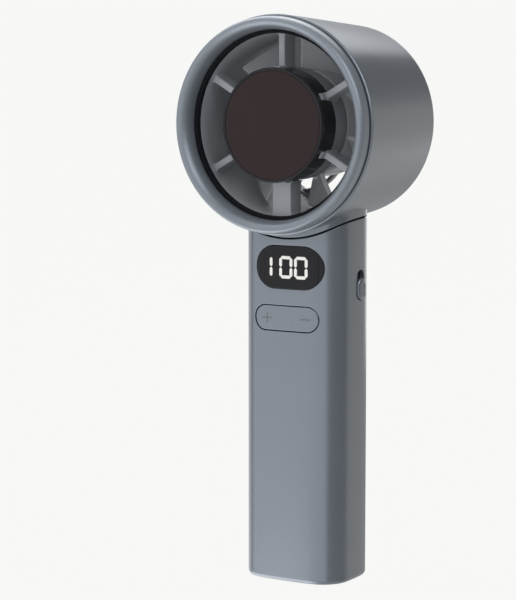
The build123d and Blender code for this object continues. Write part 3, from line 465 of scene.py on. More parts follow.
FINISH_FACTS = {
    "body_paint": dict(
        metallic=0.72, roughness=0.30, grain=0.30, depth=0.0015, mottle=0.03, patch=20,
        wander=0.03, coat=0.10, coat_roughness=0.22, fleck=0.10,
    ),
    "duct_plastic": dict(roughness=0.45, grain=0.35, depth=0.004, mottle=0.04),
    "rotor_plastic": dict(roughness=0.24, grain=0.8, depth=0.002, mottle=0.04, coat=0.6),
    "black_gloss": dict(roughness=0.2, grain=1.2, depth=0.001, mottle=0.2, specular=0.15),
    "cooled_metal": dict(
        roughness=0.28, grain=0.5, depth=0.0006, mottle=0.12, patch=18, specular=0.09,
    ),
    "lens_smoke": dict(roughness=0.12, grain=1.5, depth=0.0005, mottle=0.2, specular=0.2),
    "lit_white": dict(roughness=0.5, grain=0.6, depth=0.001, mottle=0.03, patch=3, emission=1.1),
    "mark_paint": dict(roughness=0.5, grain=0.3, depth=0.002, mottle=0.1, patch=2),
    "dark_foam": dict(roughness=0.85, grain=0.5, depth=0.06, mottle=0.35, patch=1.5, specular=0.1),
    "chassis_plastic": dict(roughness=0.55, grain=0.4, depth=0.008, mottle=0.1),
    "board_green": dict(roughness=0.35, grain=0.6, stretch=(1, 1, 0.2), depth=0.01,
                        mottle=0.2, patch=3, coat=0.2),
    "component_black": dict(roughness=0.5, grain=0.2, depth=0.006, mottle=0.2, patch=2),
    "module_ceramic": dict(roughness=0.6, grain=0.2, depth=0.006, mottle=0.05, patch=3),
    "pad_gray": dict(roughness=0.7, grain=0.5, depth=0.01, mottle=0.1, patch=3),
    "sink_metal": dict(metallic=1.0, roughness=0.35, grain=0.3, stretch=(1, 0.1, 1),
                       depth=0.004, mottle=0.08, patch=6),
    "screw_steel": dict(metallic=1.0, roughness=0.3, grain=0.3, stretch=(1, 1, 0.2),
                        depth=0.004, mottle=0.12, patch=1.5),
    "bearing_steel": dict(metallic=1.0, roughness=0.12, grain=0.2, stretch=(1, 0.1, 1),
                          depth=0.001, mottle=0.05, patch=2),
    "tube_brass": dict(metallic=1.0, roughness=0.25, grain=0.2, stretch=(0.1, 2, 0.1),
                       depth=0.003, mottle=0.1, patch=3),
    "core_steel": dict(metallic=0.9, roughness=0.45, grain=0.5, stretch=(0.02, 1, 0.02),
                       depth=0.05, mottle=0.15, patch=3),
    "winding_copper": dict(metallic=0.9, roughness=0.3, grain=0.5, stretch=(0.05, 0.05, 1),
                           depth=0.08, mottle=0.15, patch=2),
    "magnet_gray": dict(metallic=0.8, roughness=0.4, grain=0.25, depth=0.006, mottle=0.1, patch=3),
    "cell_wrap": dict(metallic=0.2, roughness=0.3, grain=2.0, stretch=(1, 1, 0.3),
                      depth=0.02, mottle=0.06, patch=8, coat=0.4),
    "tab_nickel": dict(metallic=1.0, roughness=0.35, grain=0.3, stretch=(0.2, 1, 1),
                       depth=0.003, mottle=0.08, patch=2),
    "wire_red": dict(roughness=0.45, grain=0.6, depth=0.006, mottle=0.08, patch=3),
    "wire_black": dict(roughness=0.45, grain=0.6, depth=0.006, mottle=0.3, patch=3),
    "socket_steel": dict(metallic=1.0, roughness=0.28, grain=0.3, stretch=(1, 1, 0.1),
                         depth=0.003, mottle=0.08, patch=2),
    "module_white": dict(roughness=0.5, grain=0.3, depth=0.005, mottle=0.04, patch=4),
}


# The bezel has the body's colour in a softer, less metallic coat.
BEZEL_FACTS = dict(FINISH_FACTS["body_paint"], metallic=0.45, roughness=0.40)


def finish(slot):
    """Material of a slot."""
    return surface(slot, user_colour(slot), **FINISH_FACTS[slot])


# ------------------------------------------------------------ head

def arc(centre, radii, start, stop, steps):
    """Points of an elliptical arc between two angles in degrees, as radius and place."""
    points = []
    for step in range(steps + 1):
        angle = math.radians(start + (stop - start) * step / steps)
        points.append(
            (centre[0] + radii[0] * math.cos(angle), centre[1] + radii[1] * math.sin(angle))
        )
    return points


def barrel_radius(place):
    """Outside radius of the barrel in millimetres at a place in millimetres."""
    head = bpy.context.scene.fan_head
    front, back = head.barrel_front * 1000, head.barrel_back * 1000
    share = (place - front) / (back - front)
    return 1000 * (
        head.barrel_front_radius + share * (head.barrel_back_radius - head.barrel_front_radius)
    )


def barrel_cone(name, offset):
    """Long solid cone of the barrel's outside, grown by an offset."""
    ends = [(barrel_radius(place) + offset, place) for place in (-40, 40)]
    return fill_ends(name, ends)


class FAN_OT_bezel(bpy.types.Operator):
    """Rolled ring round the inlet, with a flared inner lip"""

    bl_idname = "turbo_fan.bezel"
    bl_label = "Bezel"

    def execute(self, context):
        head = context.scene.fan_head
        crest, front = head.crest_radius * 1000, head.bezel_front * 1000
        lip = head.bezel_lip_radius * 1000
        outside = head.bezel_radius * 1000
        reveal, heel = 0.5, 0.45
        back = head.barrel_front * 1000 - reveal
        lip_front, lip_back, shoulder = -23.8, -22.8, -26.4
        spigot, bore, spigot_back = 35.7, 34.1, -20.5
        profile = arc((crest, lip_front), (crest - lip, lip_front - front), 180, 270, 16)
        profile += arc((crest, shoulder), (outside - crest, shoulder - front), 270, 360, 10)[1:]
        profile += arc((outside - heel, back - heel), (heel, heel), 0, 90, 5)
        profile += [(spigot, back), (spigot, spigot_back), (bore, spigot_back)]
        profile += [(bore, lip_back), (lip, lip_back)]
        bezel = turn("inlet_bezel", profile)
        soften(bezel, 0.22, 3, 50)
        shade(bezel)
        dress(bezel, "housing", "body_paint", "bezel")
        coat = surface("bezel_paint", user_colour("body_paint"), **BEZEL_FACTS)
        bezel.data.materials[0] = coat
        return {"FINISHED"}


class FAN_OT_barrel(bpy.types.Operator):
    """Tapered barrel with the saddle lip and the tongue that enters the handle"""

    bl_idname = "turbo_fan.barrel"
    bl_label = "Barrel"

    def execute(self, context):
        head = context.scene.fan_head
        front, back = head.barrel_front * 1000, head.barrel_back * 1000
        wall = head.barrel_wall * 1000
        edge, nose = 1.5, 0.5
        socket, step_back = 35.8, -20.5
        profile = [(socket, front)]
        profile += arc((barrel_radius(front) - nose, front + nose), (nose, nose), -90, 0, 5)
        rim = barrel_radius(back)
        profile += arc((rim - edge, back - edge), (edge, edge), 2, 90, 8)
        profile += [(rim - wall, back), (barrel_radius(step_back) - wall, step_back)]
        profile.append((socket, step_back))
        barrel = turn("barrel_shell", profile)
        low, sunk = 112, -0.9
        neck = handle_prism("lip", 0.0, low, UNCUT_TOP)
        combine(neck, handle_prism("lip_core", 3.0, low - PAST, UNCUT_TOP + PAST))
        combine(neck, barrel_cone("lip_top", 1.8), "INTERSECT")
        combine(neck, barrel_cone("lip_root", sunk))
        combine(barrel, neck, "UNION")
        stub = slab("tongue", (-8.6, 9.2, 97), (8.6, 11.3, 126), 0.3)
        for side in (-7.7, 7.7):
            gusset = slab("gusset", (side - 0.9, -2, 117.5), (side + 0.9, 10, 126))
            combine(stub, gusset, "UNION")
        combine(stub, barrel_cone("stub_top", sunk))
        for height in (101.5, 111.5):
            combine(stub, pin("hole", 0.9, (0, 8, height), (0, 12, height), "Y"))
        combine(barrel, stub, "UNION")
        combine(barrel, slab("wire_hole", (-3.6, -1.4, 119.8), (3.6, 4.4, 127.3)))
        soften(barrel, 0.18, 2, 55)
        shade(barrel)
        dress(barrel, "housing", "body_paint", "head_shell")
        return {"FINISHED"}


def spoke_widths():
    """Width of each spoke in millimetres, from the top round. The bottom one is wide."""
    head = bpy.context.scene.fan_head
    wide, narrow = head.wide_spoke_width * 1000, head.spoke_width * 1000
    return [wide if step * 2 == head.spokes else narrow for step in range(head.spokes)]


class FAN_OT_spokes(bpy.types.Operator):
    """Six inlet spokes with rounded fronts and flared roots"""

    bl_idname = "turbo_fan.spokes"
    bl_label = "Inlet spokes"

    def execute(self, context):
        head = context.scene.fan_head
        height = head.axis_height * 1000
        spokes = []
        for step, width in enumerate(spoke_widths()):
            spoke = make_spoke("spoke", width, height)
            turn_about_axis(spoke, step, head.spokes)
            spokes.append(spoke)
        spokes = gather(spokes, "inlet_spokes")
        shade(spokes)
        dress(spokes, "housing", "duct_plastic", "duct_spokes")
        return {"FINISHED"}


def make_spoke(name, width, height):
    """Upright spoke: a bar extruded outwards in rows that widen towards both ends."""
    root, tip, front, back = 19.15, 31.3, -18.5, -11.3
    rows = [(root, 0.9), (root + 0.35, 0.35), (root + 0.9, 0.1), (root + 1.6, 0.0)]
    rows += [(tip - 1.9, 0.0), (tip - 1.2, 0.1), (tip - 0.65, 0.35), (tip, 0.9)]
    put_down()
    bpy.ops.mesh.primitive_plane_add(
        size=mm(1), location=(0, mm(front + back) / 2, mm(height + root))
    )
    spoke = settle(name)
    pick_up(spoke)
    bpy.ops.object.mode_set(mode="EDIT")
    select_all("FACE")
    centre = (0, mm(front + back) / 2, 0)
    bpy.ops.transform.resize(
        value=(width + 2 * rows[0][1], back - front, 1), center_override=centre
    )
    for (low, flare), (high, next_flare) in zip(rows, rows[1:]):
        extrude((0, 0, mm(high - low)))
        share = (width + 2 * next_flare) / (width + 2 * flare)
        bpy.ops.transform.resize(value=(share, 1, 1), center_override=centre)
    put_down()
    close_up(spoke)

    def on_front(edge):
        ends = [vert.co for vert in edge.verts]
        upright = abs(ends[0].z - ends[1].z) > mm(0.1)
        return upright and all(end.y < mm(front + 0.1) for end in ends)

    choose(spoke, "EDGE", on_front)
    bpy.ops.mesh.bevel(offset=mm(0.5), segments=4, clamp_overlap=False)
    put_down()
    return spoke


class FAN_OT_centre(bpy.types.Operator):
    """Black collar, trim ring and cooled plate in the middle of the inlet"""

    bl_idname = "turbo_fan.centre"
    bl_label = "Centre plate"

    def execute(self, context):
        head = context.scene.fan_head
        outer = head.collar_radius * 1000
        plate = head.plate_radius * 1000
        front = head.plate_front * 1000
        seat = front + 1.1
        height = head.axis_height * 1000
        inner, back = 18.5, -15.4
        collar = turn(
            "hub_collar_ring", [(inner, seat), (outer, seat), (outer, back), (inner, back)]
        )
        for step, width in enumerate(spoke_widths()):
            half = width / 2 + 0.15
            notch = slab("notch", (-half, -21.8, height + 17), (half, -14.0, height + 21))
            turn_about_axis(notch, step, head.spokes)
            combine(collar, notch)
        soften(collar, 0.15, 2, 50)
        shade(collar)
        dress(collar, "housing", "black_gloss", "hub_collar")

        trim = [(plate + 0.05, front), (plate + 0.45, front)]
        trim += arc((outer - 0.5, front + 0.5), (0.5, 0.5), -90, 0, 6)
        trim += [(outer, seat), (plate + 0.05, seat)]
        ring = turn("plate_trim_ring", trim)
        soften(ring, 0.08, 2, 60)
        shade(ring)
        dress(ring, "housing", "black_gloss", "plate_ring")

        face = [(2.0, front), (plate - 0.4, front)]
        face += arc((plate - 0.3, front + 0.3), (0.3, 0.3), -90, 0, 5)[1:]
        face += [(plate, front + 1.5), (2.0, front + 1.5)]
        disc = fill_ends("cooled_plate_disc", face)
        shade(disc)
        dress(disc, "housing", "cooled_metal", "cold_plate")
        return {"FINISHED"}


# ------------------------------------------------------------ impeller and grille

class FAN_OT_impeller(bpy.types.Operator):
    """Impeller hub, twisted blades and the domed cap behind"""

    bl_idname = "turbo_fan.impeller"
    bl_label = "Impeller"

    def execute(self, context):
        rotor = context.scene.fan_rotor
        outer = rotor.hub_radius * 1000
        front, back, wall = -5.5, 13.0, 1.5
        cup = [(outer - wall, front), (outer, front)]
        cup += arc((outer - 0.9, back - 0.9), (0.9, 0.9), 0, 90, 6)
        cup += [(1.52, back), (1.52, back - wall), (14.42, back - wall), (14.42, 3.0)]
        cup += [(15.6, 3.0), (15.6, back - wall), (outer - wall, back - wall)]
        hub = turn("impeller_cup", cup)
        soften(hub, 0.25, 2, 50)
        shade(hub)
        dress(hub, "rotor", "rotor_plastic", "impeller_hub")

        blades = gather(around(make_blade("blade"), rotor.blades), "impeller_vanes")
        shade(blades, 50)
        dress(blades, "rotor", "rotor_plastic", "impeller_blades")

        across, seat, rise = 12.6, 13.8, 3.2
        dome = [(across, back), (across, seat)]
        dome += [(across * math.cos(a), seat + rise * math.sin(a)) for a in
                 (math.radians(9 * step) for step in range(1, 10))]
        cap = fill_ends("spinner_dome", dome, 96)
        shade(cap)
        dress(cap, "rotor", "rotor_plastic", "spinner_cap")
        return {"FINISHED"}


def make_blade(name):
    """Twisted blade: a radial line swept backwards and turned, thickened, thin at the back."""
    rotor = bpy.context.scene.fan_rotor
    axis = bpy.context.scene.fan_head.axis_height
    root, tip = rotor.hub_radius - mm(0.3), rotor.tip_radius
    front, long, rows, columns = mm(-4.9), mm(16.8), 16, 8
    thinning = 0.55
    blade = one_vertex(name, (0, front, axis + root))
    for _ in range(columns):
        extrude((0, 0, (tip - root) / columns), "vertices")
    select_all("EDGE")
    for row in range(rows):
        place = front + long * (row + 1) / rows
        extrude((0, long / rows, 0), "edges")
        bpy.ops.transform.rotate(
            value=TURN_HAND * rotor.blade_wrap / rows, orient_axis="Y",
            center_override=(0, place, axis),
        )
    put_down()
    close_up(blade)
    group = blade.vertex_groups.new(name="thickness")
    for vert in blade.data.vertices:
        weight = 1.0 - thinning * (vert.co.y - front) / long
        group.add([vert.index], weight, "REPLACE")
    modify(
        blade, "SOLIDIFY", thickness=rotor.blade_thickness, offset=0.0,
        vertex_group="thickness", use_even_offset=True,
    )
    blade.vertex_groups.clear()
    soften(blade, 0.3, 3, 55)
    return blade


def circle_through(a, b, c):
    """Centre of the circle through three points of a plane."""
    ax, az, bx, bz, cx, cz = *a, *b, *c
    d = 2 * (ax * (bz - cz) + bx * (cz - az) + cx * (az - bz))
    a2, b2, c2 = ax * ax + az * az, bx * bx + bz * bz, cx * cx + cz * cz
    x = (a2 * (bz - cz) + b2 * (cz - az) + c2 * (az - bz)) / d
    z = (a2 * (cx - bx) + b2 * (ax - cx) + c2 * (bx - ax)) / d
    return x, z


class FAN_OT_grille(bpy.types.Operator):
    """Outlet grille: rim, swept ribs and centre disc"""

    bl_idname = "turbo_fan.grille"
    bl_label = "Outlet grille"

    def execute(self, context):
        rotor = context.scene.fan_rotor
        rim = turn("outlet_rim", [(30.3, 24.1), (31.9, 24.1), (31.9, 29.4), (30.3, 29.4)])
        soften(rim, 0.4, 3, 50)
        shade(rim)
        dress(rim, "housing", "duct_plastic", "grille_rim")

        ribs = gather(around(make_rib("rib"), rotor.ribs), "outlet_ribs")
        shade(ribs)
        dress(ribs, "housing", "duct_plastic", "grille_ribs")

        disc = [(1.0, 25.6), (9.0, 25.6)]
        disc += arc((8.0, 28.4), (1.0, 1.0), 0, 80, 5)
        disc += [(6.5, 29.33), (5.9, 29.0), (5.3, 29.2), (1.0, 29.35)]
        hub = fill_ends("outlet_disc", disc, 96)
        shade(hub, 50)
        dress(hub, "housing", "duct_plastic", "grille_hub")
        return {"FINISHED"}


def make_rib(name):
    """Swept rib: a line spun along its arc, given depth and thickness, then rounded."""
    rotor = bpy.context.scene.fan_rotor
    axis = bpy.context.scene.fan_head.axis_height * 1000
    root, tip, front, back = 8.7, 30.6, 25.6, 28.8
    arc_root, arc_tip, sweep = 8.4, 31.1, rotor.rib_sweep
    half, lead = (arc_root + arc_tip) / 2, 0.35 * sweep
    points = [(0, arc_root), (half * math.sin(lead), half * math.cos(lead))]
    points.append((arc_tip * math.sin(sweep), arc_tip * math.cos(sweep)))
    x, z = circle_through(*points)
    radius = math.dist((x, z), points[0])
    chord = math.dist(points[0], points[2])
    whole = 2 * math.asin(chord / 2 / radius)
    rib = one_vertex(name, (0, mm(front), mm(axis + root)))
    bpy.ops.mesh.spin(
        steps=14, angle=whole * (tip - root) / (arc_tip - arc_root),
        center=(mm(x), mm(front), mm(axis + z)), axis=(0, TURN_HAND, 0),
    )
    select_all("EDGE")
    extrude((0, mm(back - front), 0), "edges")
    put_down()
    close_up(rib)
    modify(rib, "SOLIDIFY", thickness=rotor.rib_thickness, offset=0.0, use_even_offset=True)
    soften(rib, 0.42, 3, 60)
    return rib


# ------------------------------------------------------------ handle

# In millimetres: the top of the handle's prisms before the saddle is cut, how far a cutter
# runs past, and the two places between which bars go through the front wall.
UNCUT_TOP, PAST = 132, 2
FACE_BAND = (-18, -9)


def bulge_radius(chord, rise):
    """Radius of the arc that rises a given height over a chord."""
    return (chord * chord / 4 + rise * rise) / (2 * rise)


def handle_arcs():
    """The arcs of the handle's plan, anticlockwise from the middle of the front:
    centre, angle and number of steps, in metres and radians."""
    size = bpy.context.scene.fan_handle
    front_r = bulge_radius(size.width, size.front_bulge)
    side_r = bulge_radius(size.depth, size.side_bulge)
    front_y, side_x = front_r - size.depth / 2, size.width / 2 - side_r
    far, near = front_r - size.corner_radius, side_r - size.corner_radius
    apart = math.hypot(side_x, front_y)
    along = (far * far - near * near + apart * apart) / (2 * apart)
    off = math.sqrt(far * far - along * along)
    ux, uy = side_x / apart, -front_y / apart
    corner = max(
        (along * ux - off * uy, front_y + along * uy + off * ux),
        (along * ux + off * uy, front_y + along * uy - off * ux),
    )
    x, y = corner
    front = math.atan2(x, front_y - y)
    side = math.atan2(-y, x - side_x)
    bend = math.pi / 2 - front - side
    return [
        ((0, front_y), front, 8), ((x, y), bend, 12), ((side_x, 0), 2 * side, 12),
        ((x, -y), bend, 12), ((0, -front_y), 2 * front, 16), ((-x, -y), bend, 12),
        ((-side_x, 0), 2 * side, 12), ((-x, y), bend, 12), ((0, front_y), front, 8),
    ]


def handle_prism(name, inset, low, high):
    """Solid prism of the handle's plan moved in by an inset, all in millimetres."""
    size = bpy.context.scene.fan_handle
    piece = one_vertex(name, (0, mm(inset) - size.depth / 2, mm(low)))
    for centre, angle, steps in handle_arcs():
        bpy.ops.mesh.spin(
            steps=steps, angle=TURN_HAND * angle, center=(*centre, mm(low)), axis=(0, 0, 1)
        )
    bpy.ops.mesh.select_all(action="SELECT")
    bpy.ops.mesh.remove_doubles(threshold=mm(0.02))
    bpy.ops.mesh.edge_face_add()
    extrude((0, 0, mm(high - low)))
    put_down()
    close_up(piece)
    return piece


def stadium_bar(name, width, tall, height, low, high, axis="Y", across=0.0):
    """Stadium bar in millimetres. Along Y its width is along X, and along X it is along Y."""
    put_down()
    segments = 56
    step = math.pi / segments
    narrow = min(width, tall)
    tilt = (math.pi / 2, step, 0) if axis == "Y" else (step, math.pi / 2, 0)
    place = (mm(across), mm(low), mm(height)) if axis == "Y" else (mm(low), mm(across), mm(height))
    bpy.ops.mesh.primitive_circle_add(
        vertices=segments, radius=mm(narrow / 2), location=place, rotation=tilt
    )
    bar = settle(name)
    wide = width > tall
    reach = mm(abs(width - tall) / 2)
    along = (0 if axis == "Y" else 1) if wide else 2
    for side in (-1, 1):
        choose(bar, "VERT", lambda vert: side * (vert.co[along] - place[along]) > 0)
        move = [0, 0, 0]
        move[along] = side * reach
        bpy.ops.transform.translate(value=move)
    bpy.ops.mesh.select_all(action="SELECT")
    bpy.ops.mesh.edge_face_add()
    extrude((0, mm(high - low), 0) if axis == "Y" else (mm(high - low), 0, 0))
    put_down()
    close_up(bar)
    return bar


def lens_bar(name, grow):
    """Bar in the lens's outline, wider and taller by a size in millimetres."""
    size = bpy.context.scene.fan_handle
    return stadium_bar(
        name, size.lens_width * 1000 + grow, size.lens_tall * 1000 + grow,
        size.lens_height * 1000, *FACE_BAND, across=size.lens_across * 1000,
    )


def key_bar(name, grow, low, high):
    """Bar in the key's outline, wider and taller by a size in millimetres."""
    size = bpy.context.scene.fan_handle
    return stadium_bar(
        name, size.key_width * 1000 + grow, size.key_tall * 1000 + grow,
        size.key_height * 1000, low, high,
    )


class FAN_OT_handle(bpy.types.Operator):
    """Handle tube with its saddle, lens pocket, key hole, slider slot and base ledge"""

    bl_idname = "turbo_fan.handle"
    bl_label = "Handle tube"

    def execute(self, context):
        size = context.scene.fan_handle
        wall = size.wall * 1000
        tube = handle_prism("handle_body", 0.0, 0, UNCUT_TOP)
        choose(tube, "EDGE", lambda edge: all(vert.co.z < mm(0.1) for vert in edge.verts))
        bpy.ops.mesh.bevel(offset=size.base_round, segments=5, clamp_overlap=False)
        put_down()
        combine(tube, handle_prism("hollow", wall, -1, UNCUT_TOP + PAST))
        ledge = handle_prism("ledge", wall - 0.2, 2.3, 3.5)
        combine(ledge, handle_prism("ledge_hole", wall + 1.2, 1, 5))
        combine(tube, ledge, "UNION")
        combine(tube, barrel_cone("saddle", 2.4))
        pocket = lens_bar("pocket", 0)
        combine(pocket, handle_prism("pocket_floor", 1.2, 95, 130))
        combine(tube, pocket)
        combine(tube, lens_bar("window", -4))
        combine(tube, key_bar("key_hole", size.key_gap * 2000, *FACE_BAND))
        combine(tube, stadium_bar("slot", 5.5, 10.7, 103.95, 12, 24, "X", 2.5))
        soften(tube, 0.2, 2, 50)
        shade(tube)
        dress(tube, "housing", "body_paint", "handle_tube")
        return {"FINISHED"}


class FAN_OT_readout(bpy.types.Operator):
    """Smoked lens over the lit strokes"""

    bl_idname = "turbo_fan.readout"
    bl_label = "Readout"

    def execute(self, context):
        clearance = 0.16
        lens = lens_bar("readout_lens", -clearance)
        combine(lens, handle_prism("lens_face", 0.03, 95, 130), "INTERSECT")
        combine(lens, handle_prism("lens_back", 1.15, 94, 131))
        soften(lens, 0.22, 3, 50)
        shade(lens)
        dress(lens, "housing", "lens_smoke", "display_lens")
        return {"FINISHED"}


class FAN_OT_key(bpy.types.Operator):
    """Rocker key with rounded edges, pivot pins and a face that follows the handle"""

    bl_idname = "turbo_fan.key"
    bl_label = "Rocker key"

    def execute(self, context):
        height = context.scene.fan_handle.key_height * 1000
        back, pivot_place, reach = -11.6, -12.4, 5.8
        key = key_bar("rocker_key", 0, FACE_BAND[0], back)
        combine(key, handle_prism("key_face", 0.17, 80, 105), "INTERSECT")
        pivot = pin(
            "pivot", 0.6, (0, pivot_place, height - reach), (0, pivot_place, height + reach)
        )
        combine(key, pivot, "UNION")
        soften(key, 0.28, 3, 50)
        shade(key)
        dress(key, "key", "body_paint", "speed_key")
        return {"FINISHED"}


class FAN_OT_slider(bpy.types.Operator):
    """Domed side knob with its shutter plate and fork"""

    bl_idname = "turbo_fan.slider"
    bl_label = "Side slider"

    def execute(self, context):
        size = context.scene.fan_handle
        side, height, across = size.width * 500, 102.6, 2.5
        knob = stadium_bar(
            "slider_knob", 5.1, 7.6, height, side - 2.6, side + 0.25, "X", across
        )

        def outer_face(face):
            return face.normal.x > 0.9

        for rise, shrink in ((0.3, 0.955), (0.22, 0.92), (0.14, 0.87), (0.07, 0.78)):
            choose(knob, "FACE", outer_face)
            extrude((mm(rise), 0, 0))
            bpy.ops.transform.resize(
                value=(1, shrink, 1 - (1 - shrink) * 0.7),
                center_override=(mm(side), mm(across), mm(height)),
            )
        put_down()
        plate = handle_prism("shutter", 2.1, 95.2, 112.6)
        combine(plate, handle_prism("shutter_back", 2.9, 94, 114))
        combine(plate, slab("window", (10, -5.6, 95), (30, 6.6, 113)), "INTERSECT")
        combine(knob, plate, "UNION")
        for low, high in ((99.0, 100.5), (102.3, 103.8)):
            combine(knob, slab("fork", (15.0, -5.3, low), (17.4, -2.5, high)), "UNION")
        shade(knob, 50)
        dress(knob, "slider", "body_paint", "side_slider")
        return {"FINISHED"}


class FAN_OT_frame_finishes(bpy.types.Operator):
    """Finishes for the parts that keep their frame mesh"""

    bl_idname = "turbo_fan.frame_finishes"
    bl_label = "Inner parts' finishes"

    def execute(self, context):
        for name, node in frame["nodes"].items():
            node.data.materials.clear()
            node.data.materials.append(finish(SLOT_OF[name]))
        return {"FINISHED"}


# ------------------------------------------------------------ stage

def direction(azimuth, elevation):
    """Unit vector towards a place round the object. Azimuth 0 is its front."""
    a, e = math.radians(azimuth), math.radians(elevation)
    return Vector((math.sin(a) * math.cos(e), -math.cos(a) * math.cos(e), math.sin(e)))


STAGE_MIDDLE = Vector((0, 0, 0.1))
CAMERA_AZIMUTH, CAMERA_ELEVATION, CAMERA_DISTANCE = 30.5, 6.8, 0.772
CAMERA_LEFT, CAMERA_DOWN = mm(17.37), mm(2.2)


def softbox(name, azimuth, elevation, distance, size, strength, tint):
    """Rectangular studio light that faces the object. Strength is its brightness."""
    towards = direction(azimuth, elevation)
    data = bpy.data.lights.new(name, "AREA")
    data.shape = "RECTANGLE"
    data.size, data.size_y = size
    data.energy = strength * math.pi * size[0] * size[1]
    data.color = tint
    lamp = bpy.data.objects.new(name, data)
    bpy.context.scene.collection.objects.link(lamp)
    lamp.location = STAGE_MIDDLE + towards * distance
    lamp.rotation_euler = (-towards).to_track_quat("-Z", "Y").to_euler()
    lamp.visible_camera = False


# Name, azimuth, elevation, distance, size, strength and tint.
SOFTBOXES = (
    ("left_key", -50, 8, 0.95, (1.25, 1.60), 0.95, (0.97, 1.0, 1.03)),
    ("front_fill", 13, 10, 1.20, (1.47, 1.90), 0.95, (0.97, 1.0, 1.03)),
    ("top_bank", -75, 64, 0.80, (0.80, 0.55), 1.0, (1.0, 1.0, 1.0)),
    ("rear_left", -122, 5, 0.95, (0.80, 1.30), 0.8, (1.0, 1.0, 1.0)),
    ("floor_bounce", -60, -50, 0.80, (1.10, 0.70), 2.6, (1.0, 1.0, 1.0)),
    ("rear_top", -165, 40, 0.90, (0.50, 0.40), 2.1, (1.0, 1.0, 1.0)),
    ("side_strip", 68, 38, 0.95, (0.60, 0.75), 3.4, (0.97, 1.0, 1.03)),
    ("back_crown", -122, 54, 0.80, (0.90, 0.60), 2.4, (1.0, 1.0, 1.0)),
    ("outlet_light", 182, 2, 0.75, (0.30, 0.30), 1.6, (1.0, 1.0, 1.0)),
    ("right_bank", 150, -12, 0.95, (0.80, 0.80), 0.35, (1.08, 1.0, 0.90)),
)

# Brightness of the room at places from straight down, 0, to straight up, 1.
ROOM_LEVELS = ((0.0, 0.90), (1.0, 0.55), (0.34, 0.50), (0.46, 0.24), (0.72, 0.24))


def lay_floor(studio):
    """Pale floor that glows evenly, so that it meets the background without a line."""
    bpy.ops.mesh.primitive_plane_add(size=6, location=(0, 0, mm(-0.3)))
    floor = settle("studio_floor")
    material = bpy.data.materials.new("studio_floor")
    tree, add, link = node_tools(material)
    shader = tree.nodes["Principled BSDF"]
    grain = add("ShaderNodeTexNoise", Scale=6.0, Detail=2.0)
    link(add("ShaderNodeTexCoord").outputs["Object"], grain.inputs["Vector"])
    tone = add("ShaderNodeMapRange")
    fill(tone, To_Min=0.001, To_Max=0.002)
    link(grain.outputs["Fac"], tone.inputs["Value"])
    link(tone.outputs["Result"], shader.inputs["Base Color"])
    fill(shader, Roughness=0.9, Specular_IOR_Level=0.0)
    fill(shader, Emission_Color=(*studio, 1), Emission_Strength=1.0)
    floor.data.materials.append(material)
    floor.visible_diffuse = False
    floor.visible_glossy = False
    floor.visible_shadow = False


def light_room(scene, studio):
    """Plain background for the camera, and a graded room for everything else."""
    scene.world = bpy.data.worlds.new("studio_world")
    tree, add, link = node_tools(scene.world)
    tree.nodes.clear()
    seen = add("ShaderNodeBackground", Color=(*studio, 1))
    room = add("ShaderNodeBackground")
    sky = add("ShaderNodeTexCoord")
    split = add("ShaderNodeSeparateXYZ")
    ramp = add("ShaderNodeValToRGB")
    stops = ramp.color_ramp.elements
    for count, (place, level) in enumerate(ROOM_LEVELS):
        stop = stops[count] if count < 2 else stops.new(place)
        stop.position = place
        stop.color = (level, level * 1.01, level * 1.02, 1)
    lift = add("ShaderNodeMapRange")
    fill(lift, From_Min=-1.0)
    path = add("ShaderNodeLightPath")
    blend = add("ShaderNodeMixShader")
    out = add("ShaderNodeOutputWorld")
    link(sky.outputs["Generated"], split.inputs[0])
    link(split.outputs["Z"], lift.inputs["Value"])
    link(lift.outputs["Result"], ramp.inputs["Fac"])
    link(ramp.outputs["Color"], room.inputs["Color"])
    link(path.outputs["Is Camera Ray"], blend.inputs[0])
    link(room.outputs[0], blend.inputs[1])
    link(seen.outputs[0], blend.inputs[2])
    link(blend.outputs[0], out.inputs[0])


def place_camera(scene):
    """Camera that looks slightly down at the front from the right."""
    data = bpy.data.cameras.new("camera")
    data.sensor_width = 36
    data.lens = 132
    data.clip_start, data.clip_end = 0.05, 20
    camera = bpy.data.objects.new("camera", data)
    scene.collection.objects.link(camera)
    back = direction(CAMERA_AZIMUTH, CAMERA_ELEVATION)
    turned = (-back).to_track_quat("-Z", "Y")
    right, up = turned @ Vector((1, 0, 0)), turned @ Vector((0, 1, 0))
    camera.rotation_mode = "QUATERNION"
    camera.rotation_quaternion = turned
    camera.location = (
        STAGE_MIDDLE + back * CAMERA_DISTANCE - right * CAMERA_LEFT - up * CAMERA_DOWN
    )
    scene.camera = camera


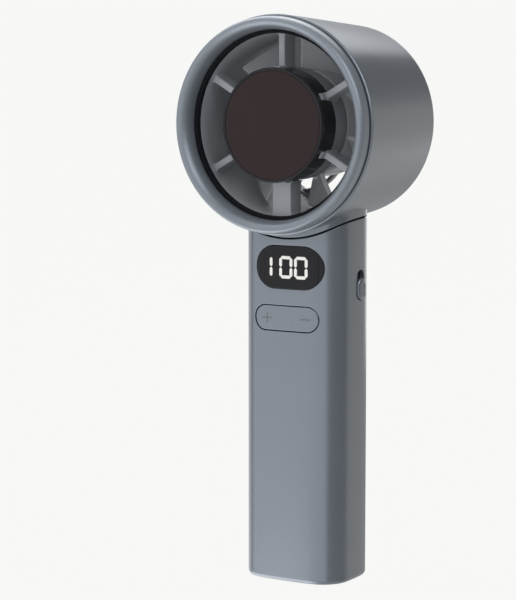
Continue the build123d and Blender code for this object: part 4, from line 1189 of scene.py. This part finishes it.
class FAN_OT_stage(bpy.types.Operator):
    """Pale floor, soft studio lights, plain background and the camera"""

    bl_idname = "turbo_fan.stage"
    bl_label = "Studio"

    def execute(self, context):
        scene = context.scene
        scene.view_settings.view_transform = "Standard"
        studio = tuple(scene.fan_colours.studio)
        put_down()
        lay_floor(studio)
        light_room(scene, studio)
        for facts in SOFTBOXES:
            softbox(*facts)
        place_camera(scene)
        return {"FINISHED"}


# ------------------------------------------------------------ add-on

OPERATORS = (
    FAN_OT_bezel, FAN_OT_barrel, FAN_OT_spokes, FAN_OT_centre, FAN_OT_impeller,
    FAN_OT_grille, FAN_OT_handle, FAN_OT_readout, FAN_OT_key, FAN_OT_slider,
    FAN_OT_frame_finishes, FAN_OT_stage,
)
GROUPS = {
    "fan_head": FanHeadSizes,
    "fan_rotor": FanRotorSizes,
    "fan_handle": FanHandleSizes,
    "fan_colours": FanColours,
}


class FAN_PT_panel(bpy.types.Panel):
    """Sizes, colours and steps of the handheld turbo fan"""

    bl_idname = "FAN_PT_panel"
    bl_label = "Handheld turbo fan"
    bl_space_type = "VIEW_3D"
    bl_region_type = "UI"
    bl_category = "Turbo fan"

    def draw(self, context):
        layout = self.layout
        for name, group in GROUPS.items():
            box = layout.box()
            for field in group.__annotations__:
                box.prop(getattr(context.scene, name), field)
        for step in OPERATORS:
            layout.operator(step.bl_idname)


def register():
    """Add the classes and the scene's sizes and colours."""
    for item in (*GROUPS.values(), *OPERATORS, FAN_PT_panel):
        bpy.utils.register_class(item)
    for name, group in GROUPS.items():
        setattr(bpy.types.Scene, name, bpy.props.PointerProperty(type=group))


def unregister():
    """Take away what register added."""
    for name in GROUPS:
        delattr(bpy.types.Scene, name)
    for item in reversed((*GROUPS.values(), *OPERATORS, FAN_PT_panel)):
        bpy.utils.unregister_class(item)


def main():
    """Build everything in order."""
    register()
    put_down()
    for step in OPERATORS:
        group, name = step.bl_idname.split(".")
        getattr(getattr(bpy.ops, group), name)()


if __name__ == "__main__":
    main()
